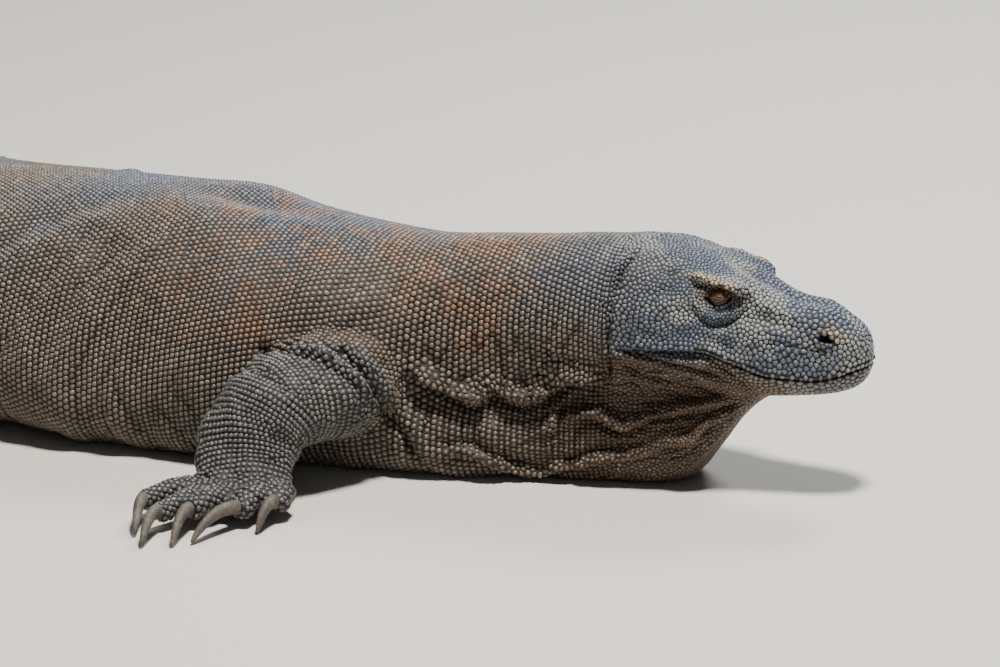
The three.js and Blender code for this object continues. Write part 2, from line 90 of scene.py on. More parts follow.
THROAT = (
    (88, 104, 97, 91, 10, 2), (104, 118, 92, 78, 26, 2), (120, 126, 84, 61, 37, 2.1),
    (140, 130, 72, 32, 47, 2.2), (162, 132, 58, 4, 52, 2.4), (195, 132, 47, -8, 56, 2.4),
    (260, 130, 43, -10, 66, 2.5), (330, 122, 41, -12, 84, 2.7), (400, 112, 40, -12, 104, 2.8),
    (460, 104, 42, -12, 114, 2.8), (520, 96, 44, -10, 118, 2.8),
)
# Height inside the body from which its outline is seen whole, at distances behind the snout.
CORE_HEIGHTS = ((0, 134), (50, 128), (88, 102), (300, 98), (400, 88), (480, 74), (550, 68))


class Curve:
    """A smooth size along the body, which never overshoots its rows."""

    def __init__(self, at: Sequence[float], values: Sequence[float]) -> None:
        """Args:
            at: distances behind the snout.
            values: the size at each.
        """
        self.at = np.array(at, float)
        self.values = np.array(values, float)
        rise = np.diff(self.values) / np.diff(self.at)
        slopes = np.empty(len(self.at))
        slopes[0], slopes[-1] = rise[0], rise[-1]
        both, total = rise[:-1] * rise[1:], rise[:-1] + rise[1:]
        safe = np.where(both > 0, total, 1.0)
        slopes[1:-1] = np.where(both > 0, 2 * both / safe, 0.0)
        self.slopes = slopes

    def __call__(self, at: Array | float) -> Array:
        """The size at a distance, or at an array of them.

        Args:
            at: one distance or an array.

        Returns:
            The size at each.
        """
        at = np.asarray(at, float)
        i = np.clip(np.searchsorted(self.at, at, side="right") - 1, 0, len(self.at) - 2)
        step = self.at[i + 1] - self.at[i]
        t = np.clip((at - self.at[i]) / step, 0, 1)
        ends = self.values[i] * (1 + 2 * t) * (1 - t) ** 2 + self.values[i + 1] * t * t * (3 - 2 * t)
        return ends + step * (self.slopes[i] * t * (1 - t) ** 2 - self.slopes[i + 1] * t * t * (1 - t))


def smoothstep(low: float, high: float, value: Array) -> Array:
    """0 below low, 1 above high and smooth between; low may be the larger."""
    t = np.clip((value - low) / (high - low), 0, 1)
    return t * t * (3 - 2 * t)


def signed_power(value: Array, exponent: Array | float) -> Array:
    """A power that keeps the sign."""
    return np.sign(value) * np.abs(value) ** exponent


def unit(vectors: Array) -> Array:
    """Rows made one long."""
    return vectors / np.maximum(np.linalg.norm(vectors, axis=-1, keepdims=True), 1e-12)


def round_angles(count: int) -> Array:
    """Angles evenly round a circle, from 0."""
    return np.arange(count) * (2 * np.pi / count)


def areas(corners: Array) -> Array:
    """The areas of triangles, given by their corners."""
    first, second = corners[:, 1] - corners[:, 0], corners[:, 2] - corners[:, 0]
    return np.linalg.norm(np.cross(first, second), axis=1) / 2


def run_along(points: Array) -> Array:
    """The distance from the first of a row of points to each."""
    return np.concatenate([[0], np.cumsum(np.linalg.norm(np.diff(points, axis=0), axis=1))])


# -------------------- spine
class Spine:
    """The line on the floor under the backbone, and places beside it."""

    STEP = 10.0
    TIP = (1263.0, 124.0)  # the snout in plan
    BATCH = 20000  # points that are located at a time
    ROUNDS = 4  # steps that bring a located point square to the spine

    def __init__(self) -> None:
        """Walks back from the snout by the headings."""
        self.heading = Curve(*zip(*HEADINGS))
        steps = np.arange(0, LENGTH + 3 * self.STEP, self.STEP)
        turns = np.radians(self.heading(steps + self.STEP / 2))
        moves = -self.STEP * np.stack([np.cos(turns), np.sin(turns)], 1)
        self.plan = np.concatenate([[self.TIP], np.array(self.TIP) + np.cumsum(moves, 0)])
        self.at = np.arange(len(self.plan)) * self.STEP

    def forward(self, at: Array) -> Array:
        """Directions towards the head on the floor plane, one row for each distance."""
        turn = np.radians(self.heading(at))
        return np.stack([np.cos(turn), np.sin(turn)], -1)

    def leftward(self, at: Array) -> Array:
        """Level directions to the animal's left, one row x, y, z for each distance."""
        ahead = self.forward(at)
        return np.stack([-ahead[..., 1], ahead[..., 0], np.zeros(ahead.shape[:-1])], -1)

    def centre(self, at: Array) -> Array:
        """Points under the spine in plan."""
        return np.stack([np.interp(at, self.at, self.plan[:, k]) for k in (0, 1)], -1)

    def place(self, at: Array, left: Array, height: Array) -> Array:
        """Points in millimetres from body measures.

        Args:
            at: distances behind the snout.
            left: distances to the animal's left of the spine.
            height: heights over the floor.

        Returns:
            One row x, y, z for each.
        """
        at, left, height = np.broadcast_arrays(*(np.asarray(v, float) for v in (at, left, height)))
        plan = self.centre(np.clip(at, 0, None)) + self.leftward(at)[..., :2] * left[..., None]
        plan = plan + self.forward(at) * np.clip(-at, 0, None)[..., None]
        return np.concatenate([plan, height[..., None]], -1)

    def locate(self, points: Array) -> tuple[Array, Array, Array]:
        """The body measures of points in millimetres: distance behind the snout, left, height.

        Args:
            points: rows x, y, z.

        Returns:
            Arrays of distance behind the snout, distance left of the spine and height.
        """
        plan = points[:, :2]
        at = np.empty(len(plan))
        for start in range(0, len(plan), self.BATCH):
            part = plan[start : start + self.BATCH]
            gaps = ((part[:, None] - self.plan[None, ::2]) ** 2).sum(-1)
            at[start : start + self.BATCH] = self.at[::2][gaps.argmin(1)]
        for _ in range(self.ROUNDS):
            at = at - ((plan - self.centre(np.clip(at, 0, None))) * self.forward(at)).sum(-1) * (at >= 0)
            at = np.clip(at, 0, LENGTH)
        away = plan - self.centre(at)
        ahead = self.forward(at)
        left = away[:, 1] * ahead[:, 0] - away[:, 0] * ahead[:, 1]
        return at, left, points[:, 2]


SPINE = Spine()


# -------------------- trunk outlines
@dataclass(frozen=True)
class SpineForm:
    """A form lofted along the spine from a table of sizes.

    Attributes:
        rows: the table.
        first, last: the range of distances that it fills.
        roof, sole: how square its upper and lower halves are, or None for the table's own.
    """

    rows: tuple
    first: float
    last: float
    roof: float | None = None
    sole: float | None = None

    def curves(self) -> dict[str, Curve]:
        """A curve for each named size."""
        at, *columns = zip(*self.rows)
        return {name: Curve(at, column) for name, column in zip(SIZES, columns)}

    def outline(self, sizes: dict[str, Array], i: int, angles: Array) -> tuple[Array, Array]:
        """One ring's points, left and height, from arrays of sizes along the body.

        Args:
            sizes: named sizes along the body.
            i: which of them the ring has.
            angles: where its points are, turned from the left upwards.

        Returns:
            How far left and how high each point is.
        """
        top, mid, low = (float(sizes[k][i]) for k in ("top", "mid", "low"))
        half, square = float(sizes["half"][i]) - COAT, float(sizes["square"][i])
        upper = np.sin(angles) >= 0
        exponent = np.where(upper, self.roof or square, self.sole or square)
        reach = np.where(upper, top - mid, mid - low) - COAT
        out = max(half, 0.5) * signed_power(np.cos(angles), 2 / exponent)
        return out, mid + np.maximum(reach, 0.5) * signed_power(np.sin(angles), 2 / exponent)


class Trunk:
    """Head, neck, throat, trunk and tail as one outline at each distance behind the snout."""

    FORMS = (
        SpineForm(HEAD, 0, 250, sole=2.8),
        SpineForm(BODY, 178, 2611, roof=2.1),
        SpineForm(THROAT, 92, 507, roof=2.0),
    )
    BLEND = 5.0  # how softly the forms flow into one another
    JOINT_RISE = 0.6  # the share of the blend's own swelling that is kept
    NOWHERE = -60.0  # the outline of a form where it isn't

    def __init__(self) -> None:
        """Prepares the curves."""
        self.head, self.body, self.throat = self.curves = [form.curves() for form in self.FORMS]
        self.low_core = Curve(*zip(*CORE_HEIGHTS))

    def core(self, at: Array) -> Array:
        """Heights inside the body from which its outline is seen whole."""
        return np.where(at < 550, self.low_core(at), self.body["mid"](at))

    def half(self, at: Array) -> Array:
        """Half widths of head and body."""
        return np.where(at < 250, self.head["half"](at), self.body["half"](at))

    def radii(self, at: Array, angles: Array) -> Array:
        """Distances from the core to the outline, one row for each distance behind the snout.

        Args:
            at: distances behind the snout.
            angles: directions from the core, turned from the left upwards.

        Returns:
            One row for each distance behind the snout.
        """
        core = self.core(at)
        fine = np.linspace(0, 2 * np.pi, 721)[:-1]
        found = np.full((len(at), len(angles), len(self.FORMS)), self.NOWHERE)
        for k, (form, curves) in enumerate(zip(self.FORMS, self.curves)):
            sizes = {name: curve(at) for name, curve in curves.items()}
            for i in np.nonzero((at >= form.first) & (at <= form.last))[0]:
                out, height = form.outline(sizes, i, fine)
                rise = height - core[i]
                turn = np.arctan2(rise, out) % (2 * np.pi)
                order = np.argsort(turn)
                found[i, :, k] = np.interp(angles, turn[order], np.hypot(out, rise)[order], period=2 * np.pi)
        largest = found.max(-1, keepdims=True)
        soft = np.exp((found - largest) / self.BLEND).sum(-1)
        return largest[..., 0] + self.BLEND * np.log(soft) * self.JOINT_RISE

    def rings(self, at: Array, sides: int) -> tuple[Array, Array]:
        """Left and height of each ring's points, one row for each distance.

        Args:
            at: distances behind the snout.
            sides: how many points a ring has.

        Returns:
            One row for each distance, of places left and of heights.
        """
        angles = round_angles(sides)
        radius = self.radii(at, angles)
        height = self.core(at)[:, None] + radius * np.sin(angles)
        return radius * np.cos(angles), np.maximum(height, FLOOR_REST)


TRUNK = Trunk()


# -------------------- limbs
@dataclass(frozen=True)
class Joint:
    """A station of a limb: ahead of its anchor, out from the spine, height and half sizes."""

    ahead: float
    out: float
    z: float
    wide: float
    tall: float


@dataclass(frozen=True)
class Digit:
    """Plan places (ahead, out) of a digit's pad, tip and claw point, and its half thickness."""

    pad: tuple[float, float]
    tip: tuple[float, float]
    point: tuple[float, float]
    thick: float


@dataclass(frozen=True)
class LimbPlan:
    """Where a limb's joints and digits are, given for the right side."""

    anchor: float
    root: Joint
    upper: Joint
    hinge: Joint
    lower: Joint
    end: Joint
    palm: Joint
    digits: tuple[Digit, ...]


FORE = LimbPlan(
    480, Joint(24, 50, 86, 52, 50), Joint(12, 120, 88, 56, 47), Joint(-20, 174, 82, 52, 42),
    Joint(-29, 198, 58, 49, 37), Joint(-26, 220, 38, 45, 25), Joint(-17, 240, 24, 43, 17),
    (
        Digit((17, 236), (21, 254), (20, 292), 14.5), Digit((3, 248), (-3, 280), (-21, 340), 14.5),
        Digit((-17, 256), (-41, 301), (-33, 354), 12.5), Digit((-35, 257), (-64, 318), (-57, 366), 11.5),
        Digit((-50, 248), (-91, 292), (-76, 341), 13.5),
    ),
)
HIND = LimbPlan(
    1165, Joint(-8, 36, 84, 58, 56), Joint(44, 120, 88, 56, 52), Joint(92, 188, 82, 46, 40),
    Joint(46, 218, 58, 42, 36), Joint(4, 244, 36, 35, 26), Joint(26, 274, 22, 38, 17),
    (
        Digit((48, 266), (78, 276), (118, 284), 13), Digit((56, 284), (102, 310), (148, 330), 13.5),
        Digit((50, 298), (104, 340), (148, 368), 13.5), Digit((36, 306), (86, 368), (124, 404), 13.5),
        Digit((4, 292), (14, 336), (22, 378), 13),
    ),
)


class Side(Enum):
    """A side of the animal: +1 is its left."""

    RIGHT = -1
    LEFT = 1


@dataclass(frozen=True)
class Station:
    """A point of a limb's line with its half sizes."""

    point: Array
    wide: float
    tall: float


@dataclass(frozen=True)
class Limb:
    """One leg in its place.

    Attributes:
        name: its name in the frame.
        plan: its joints and digits.
        side: the side that it is on.
        shift: how far it is moved ahead.
        swing: degrees that it is swung about its root.
    """

    name: str
    plan: LimbPlan
    side: Side
    shift: float
    swing: float

    # heights over the floor and half thicknesses of a digit
    PALM_TALL = 12.0
    PAD = (21.0, 13.0)
    KNUCKLE = (24.0, 12.0)
    TIP = (17.0, 12.0)
    NARROWING = 0.9  # the tip's share of the digit's width

    def place(self, ahead: float, out: float, z: float = 0.0) -> Array:
        """A point in millimetres from the limb's own measures.

        Args:
            ahead: distance ahead of its anchor.
            out: distance out from the spine.
            z: height.

        Returns:
            The point x, y, z.
        """
        turn = math.radians(self.swing)
        root = self.plan.root
        along, outward = ahead - root.ahead, out - root.out
        swung_ahead = root.ahead + along * math.cos(turn) - outward * math.sin(turn) + self.shift
        swung_out = root.out + along * math.sin(turn) + outward * math.cos(turn)
        anchor = np.array(float(self.plan.anchor))
        point = SPINE.place(anchor, self.side.value * swung_out, z)
        point[:2] += SPINE.forward(anchor) * swung_ahead
        return point

    def station(self, joint: Joint) -> Station:
        """A joint as a station."""
        return Station(self.place(joint.ahead, joint.out, joint.z), joint.wide - COAT, joint.tall - COAT)

    def chains(self) -> list[list[Station]]:
        """Stations of the upper and of the lower length.

        Returns:
            From the root to the hinge, and from the hinge to the palm.
        """
        plan = self.plan
        upper = (plan.root, plan.upper, plan.hinge)
        lower = (plan.hinge, plan.lower, plan.end, plan.palm)
        return [[self.station(joint) for joint in joints] for joints in (upper, lower)]

    def digit(self, i: int) -> list[Station]:
        """Stations of a digit, from the palm to its tip.

        Args:
            i: which digit.

        Returns:
            Palm, pad, knuckle and tip.
        """
        plan = self.plan.digits[i]
        thick = plan.thick - COAT
        pad, tip = self.place(*plan.pad, self.PAD[0]), self.place(*plan.tip, self.TIP[0])
        knuckle = (pad + tip) / 2
        knuckle[2] = self.KNUCKLE[0]
        palm = self.place(self.plan.palm.ahead, self.plan.palm.out, self.plan.palm.z)
        return [
            Station(palm, thick, self.PALM_TALL - COAT),
            Station(pad, thick, self.PAD[1] - COAT),
            Station(knuckle, thick, self.KNUCKLE[1] - COAT),
            Station(tip, thick * self.NARROWING, self.TIP[1] - COAT),
        ]


LIMBS = (
    Limb("right_fore", FORE, Side.RIGHT, 0, 0),
    Limb("left_fore", FORE, Side.LEFT, 4, 8),
    Limb("right_hind", HIND, Side.RIGHT, 0, 0),
    Limb("left_hind", HIND, Side.LEFT, -10, 12),
)


class Tube:
    """A tapering tube along a smooth line through stations, with rounded ends."""

    ROUND_END = 0.45  # how far an end stands out, as a share of its half thickness
    END_TURNS = (35, 60, 80)  # degrees at which a rounded end has rings

    def __init__(self, stations: Sequence[Station], count: int, ends: bool = True) -> None:
        """Args:
            stations: what the tube passes through.
            count: how many rings it has between its ends.
            ends: whether rounded ends are added.
        """
        shares = np.linspace(0, 1, count)
        points = np.array([s.point for s in stations])
        place = shares * (len(stations) - 1)
        i = np.minimum(place.astype(int), len(stations) - 2)
        t = (place - i)[:, None]
        self.centres = self._line(points, i, t)
        ahead = unit(np.gradient(self.centres, axis=0))
        wide = np.interp(place, range(len(stations)), [s.wide for s in stations])
        tall = np.interp(place, range(len(stations)), [s.tall for s in stations])
        if ends:
            turns = np.radians(self.END_TURNS)
            shrink = np.cos(turns)
            for e, sign in ((0, -1), (-1, 1)):
                depth = sign * self.ROUND_END * min(wide[e], tall[e]) * np.sin(turns)
                cap = self.centres[e] + depth[:, None] * ahead[e]
                grown = (
                    (self.centres, cap), (ahead, np.repeat(ahead[e][None], len(turns), 0)),
                    (wide, wide[e] * shrink), (tall, tall[e] * shrink),
                )
                self.centres, ahead, wide, tall = (
                    np.concatenate([extra[::-1], base] if e == 0 else [base, extra]) for base, extra in grown
                )
        self.ahead, self.wide, self.tall = ahead, wide, tall
        self.right = unit(np.cross(ahead, UP_AXIS))
        self.over = np.cross(self.right, ahead)

    @staticmethod
    def _line(points: Array, i: Array, t: Array) -> Array:
        """Points of a centripetal spline through points, at share t of each length i.

        Args:
            points: what the line passes through.
            i: the length of each point that is wanted.
            t: its share of that length.

        Returns:
            One row x, y, z for each.
        """
        padded = np.concatenate([[2 * points[0] - points[1]], points, [2 * points[-1] - points[-2]]])
        p0, p1, p2, p3 = (padded[i + k] for k in range(4))
        d0, d1, d2 = (
            np.sqrt(np.linalg.norm(b - a, axis=1, keepdims=True)) for a, b in ((p0, p1), (p1, p2), (p2, p3))
        )
        m1 = ((p1 - p0) / d0 - (p2 - p0) / (d0 + d1) + (p2 - p1) / d1) * d1
        m2 = ((p2 - p1) / d1 - (p3 - p1) / (d1 + d2) + (p3 - p2) / d2) * d1
        cubic = 2 * p1 - 2 * p2 + m1 + m2
        return p1 + t * (m1 + t * ((3 * p2 - 3 * p1 - 2 * m1 - m2) + t * cubic))

    def ring(self, k: int, angles: Array) -> Array:
        """The points of ring k."""
        across = np.cos(angles)[:, None] * self.wide[k] * self.right[k]
        return self.centres[k] + across + np.sin(angles)[:, None] * self.tall[k] * self.over[k]

    def points(self, sides: int) -> Array:
        """All rings' points, one row for each ring."""
        angles = round_angles(sides)
        return np.stack([self.ring(k, angles) for k in range(len(self.centres))])


def loft(rings: Array, front: Array, back: Array) -> bmesh.types.BMesh:
    """A closed skin over rings: a sphere's rows become the rings and its poles the ends.

    Args:
        rings: points in millimetres, one row of sides for each ring.
        front, back: the end points.

    Returns:
        The skin in metres, facing out.
    """
    count, sides = rings.shape[:2]
    bm = bmesh.new()
    bmesh.ops.create_uvsphere(bm, u_segments=sides, v_segments=count + 1, radius=1.0)
    for vert in bm.verts:
        row = round(math.acos(max(-1.0, min(1.0, vert.co.z))) / math.pi * (count + 1))
        column = round(math.atan2(vert.co.y, vert.co.x) / (2 * math.pi) * sides) % sides
        point = front if row == 0 else back if row == count + 1 else rings[row - 1, column]
        vert.co = Vector(point) * MM
    bmesh.ops.recalc_face_normals(bm, faces=bm.faces)
    return bm


def joined(forms: Iterable[bmesh.types.BMesh]) -> bmesh.types.BMesh:
    """Several bmeshes as one; each is freed.

    Args:
        forms: the bmeshes.

    Returns:
        One bmesh with all their faces.
    """
    whole = bmesh.new()
    for bm in forms:
        part = bpy.data.meshes.new("part")
        bm.to_mesh(part)
        bm.free()
        whole.from_mesh(part)
        bpy.data.meshes.remove(part)
    return whole


def linked(name: str, data: bpy.types.ID) -> bpy.types.Object:
    """A new object in the scene, with a mesh, a light or a camera.

    Args:
        name: its name.
        data: what it shows.

    Returns:
        The object.
    """
    obj = bpy.data.objects.new(name, data)
    bpy.context.scene.collection.objects.link(obj)
    return obj


def object_of(name: str, bm: bmesh.types.BMesh) -> bpy.types.Object:
    """A linked object with the mesh of a bmesh, which is freed.

    Args:
        name: its name.
        bm: the shape.

    Returns:
        The object.
    """
    mesh = bpy.data.meshes.new(name)
    bm.to_mesh(mesh)
    bm.free()
    return linked(name, mesh)


def coordinates(mesh: bpy.types.Mesh) -> Array:
    """A mesh's vertices in millimetres.

    Args:
        mesh: the mesh.

    Returns:
        One row x, y, z for each vertex.
    """
    co = np.empty(len(mesh.vertices) * 3, np.float32)
    mesh.vertices.foreach_get("co", co)
    return co.reshape(-1, 3).astype(float) / MM


def set_coordinates(mesh: bpy.types.Mesh, points: Array) -> None:
    """Moves a mesh's vertices to places in millimetres."""
    mesh.vertices.foreach_set("co", (points * MM).astype(np.float32).ravel())
    mesh.update()


def vertex_normals(mesh: bpy.types.Mesh) -> Array:
    """A mesh's smooth normals.

    Args:
        mesh: the mesh.

    Returns:
        One row for each vertex.
    """
    normals = np.empty(len(mesh.vertices) * 3, np.float32)
    mesh.vertex_normals.foreach_get("vector", normals)
    return normals.reshape(-1, 3).astype(float)


def apply_modifiers(obj: bpy.types.Object) -> None:
    """Makes an object's modifiers part of its mesh.

    Args:
        obj: the object.
    """
    graph = bpy.context.evaluated_depsgraph_get()
    mesh = bpy.data.meshes.new_from_object(obj.evaluated_get(graph))
    old = obj.data
    obj.modifiers.clear()
    obj.data = mesh
    bpy.data.meshes.remove(old)


# -------------------- folds of skin
Places = tuple  # (distance behind the snout, out from the spine, height) triples


@dataclass(frozen=True)
class Bump:
    """A soft rise of the skin beside a fold's line: how far above the line, how wide and how high."""

    offset: float
    width: float
    rise: float

    def at(self, x: Array) -> Array:
        """The rise at places across the line."""
        return self.rise * np.exp(-(((x - self.offset) / self.width) ** 2))


@dataclass(frozen=True)
class Fold:
    """A fold, crease or ridge along a line on the skin.

    Attributes:
        path: its line, as body measures of the right side.
        bumps: its profile across the line; offsets are measured towards `toward`.
        sides: the sides that it is made on.
        toward: the direction of positive offsets, as (ahead, up).
        fade: the share of its length over which each end dies away.
        roll: how far the rise also leans away from `toward`, so that it overhangs.
    """

    path: Places
    bumps: tuple[Bump, ...]
    sides: tuple[Side, ...] = (Side.RIGHT, Side.LEFT)
    toward: tuple[float, float] = (0.0, 1.0)
    fade: float = 0.18
    roll: float = 0.0

    STEP = 1.5  # the distance between the points of a fold's line
    WIDTHS = 2.6  # how many of its widths a bump reaches
    BESIDE = 9.0  # how softly a fold ends beside the ends of its line

    def line(self, side: Side) -> Array:
        """The fold's line in millimetres.

        Args:
            side: the side that it is on.

        Returns:
            Points at short, even steps.
        """
        at, out, height = np.array(self.path, float).T
        points = SPINE.place(at, side.value * out, height)
        stations = [Station(point, 1, 1) for point in points]
        length = np.linalg.norm(np.diff(points, axis=0), axis=1).sum()
        return Tube(stations, max(8, int(length / self.STEP)), ends=False).centres

    def move(self, points: Array, normals: Array) -> Array:
        """How far each point moves, in millimetres.

        Args:
            points: places on the skin.
            normals: its normals there.

        Returns:
            One row x, y, z for each point.
        """
        moved = np.zeros_like(points)
        reach = max(abs(b.offset) + self.WIDTHS * b.width for b in self.bumps)
        for side in self.sides:
            line = self.line(side)
            near = ((points > line.min(0) - reach) & (points < line.max(0) + reach)).all(1)
            index = np.nonzero(near)[0]
            if not len(index):
                continue
            part = points[index]
            gaps = np.linalg.norm(part[:, None] - line[None], axis=-1)
            nearest = gaps.argmin(1)
            keep = gaps[np.arange(len(part)), nearest] < reach * 1.3
            index, part, nearest = index[keep], part[keep], nearest[keep]
            tangent = unit(np.gradient(line, axis=0))[nearest]
            across = unit(np.cross(normals[index], tangent))
            plan = SPINE.forward(np.full(1, float(np.mean([p[0] for p in self.path]))))[0]
            want = np.array([*(plan * self.toward[0]), self.toward[1]])
            across *= np.sign((across @ want) + 1e-9)[:, None]
            away = part - line[nearest]
            x = (away * across).sum(1)
            beyond = np.abs((away * tangent).sum(1))
            share = nearest / (len(line) - 1)
            ends = smoothstep(0, self.fade, share) * smoothstep(0, self.fade, 1 - share)
            stray = np.sqrt(np.maximum((away**2).sum(1) - x * x, 0))
            strength = ends * np.exp(-((np.maximum(beyond, stray * 0.5) / self.BESIDE) ** 2))
            total = sum(bump.at(x) for bump in self.bumps) * strength
            lean = np.maximum(total, 0)[:, None] * across * -self.roll
            moved[index] += total[:, None] * normals[index] + lean
        return moved


@dataclass(frozen=True)
class Swelling:
    """A soft round form under the skin.

    Attributes:
        place: its middle as body measures of the right side.
        reach: half sizes along the body, outwards and up.
        rise: how high it stands, or less than 0 for a hollow.
        sides: the sides that it is made on.
    """

    place: tuple[float, float, float]
    reach: tuple[float, float, float]
    rise: float
    sides: tuple[Side, ...] = (Side.RIGHT, Side.LEFT)

    def move(self, at: Array, left: Array, height: Array, normals: Array) -> Array:
        """How far each point, given by body measures, moves in millimetres.

        Args:
            at, left, height: body measures of the points.
            normals: the skin's normals there.

        Returns:
            One row x, y, z for each point.
        """
        total = np.zeros(len(at))
        for side in self.sides:
            gaps = (
                (at - self.place[0]) / self.reach[0],
                (left - side.value * self.place[1]) / self.reach[1],
                (height - self.place[2]) / self.reach[2],
            )
            total += self.rise * np.exp(-sum(g * g for g in gaps))
        return total[:, None] * normals


@dataclass(frozen=True)
class Relief:
    """Irregular wrinkles and soft lumps over a part of the body.

    Attributes:
        first, last: where it lies along the spine.
        low, high: the heights between which it lies.
        along, round_: the distance between wrinkles along the body and round it.
        slant: how far the wrinkles lean back, in degrees.
        crease: the depth of the wrinkles.
        swell: how far the skin between them swells.
        limbs: whether it lies on the limbs or on the body.
        soft: how far it takes to die away.
    """

    first: float
    last: float
    low: float
    high: float
    along: float
    round_: float
    slant: float
    crease: float
    swell: float
    limbs: bool = False
    soft: float = 30.0

    ROUND = 105.0  # a mean radius of the body, which turns angles round it into lengths
    LEFT_SHIFT = 37.0  # sets the wrinkles of the two sides apart
    SHARP = 0.075  # how narrow the wrinkles are, in steps of the noise

    def move(self, at: Array, left: Array, height: Array, normals: Array) -> Array:
        """How far each point, given by body measures, moves in millimetres.

        Args:
            at, left, height: body measures of the points.
            normals: the skin's normals there.

        Returns:
            One row x, y, z for each point.
        """
        weight = smoothstep(self.first, self.first + self.soft, at)
        weight *= smoothstep(self.last, self.last - self.soft, at)
        level = smoothstep(self.low - 12, self.low + 4, height)
        weight *= level * smoothstep(self.high + 12, self.high - 4, height)
        outside = smoothstep(6, 22, np.abs(left) - TRUNK.half(at))
        weight *= outside if self.limbs else (1 - outside) * smoothstep(8, 62, np.abs(left))
        index = np.nonzero(weight > 0.01)[0]
        a, side = at[index], np.sign(left[index])
        b = side * self.ROUND * np.arctan2(height[index] - TRUNK.core(a), np.abs(left[index]))
        depth = side * self.LEFT_SHIFT
        if self.limbs:
            b, depth = height[index], left[index] / self.round_
        turn = math.radians(self.slant)
        u, v = a * math.cos(turn) + np.abs(b) * math.sin(turn), b * math.cos(turn) - a * math.sin(turn)
        places = np.stack([u / self.along, v / self.round_, depth], 1)
        value = np.array([noise.noise(place) for place in places.tolist()])
        rise = self.swell * 2 * value - self.crease * np.exp(-((value / self.SHARP) ** 2))
        moved = np.zeros_like(normals)
        moved[index] = (rise * weight[index])[:, None] * normals[index]
        return moved


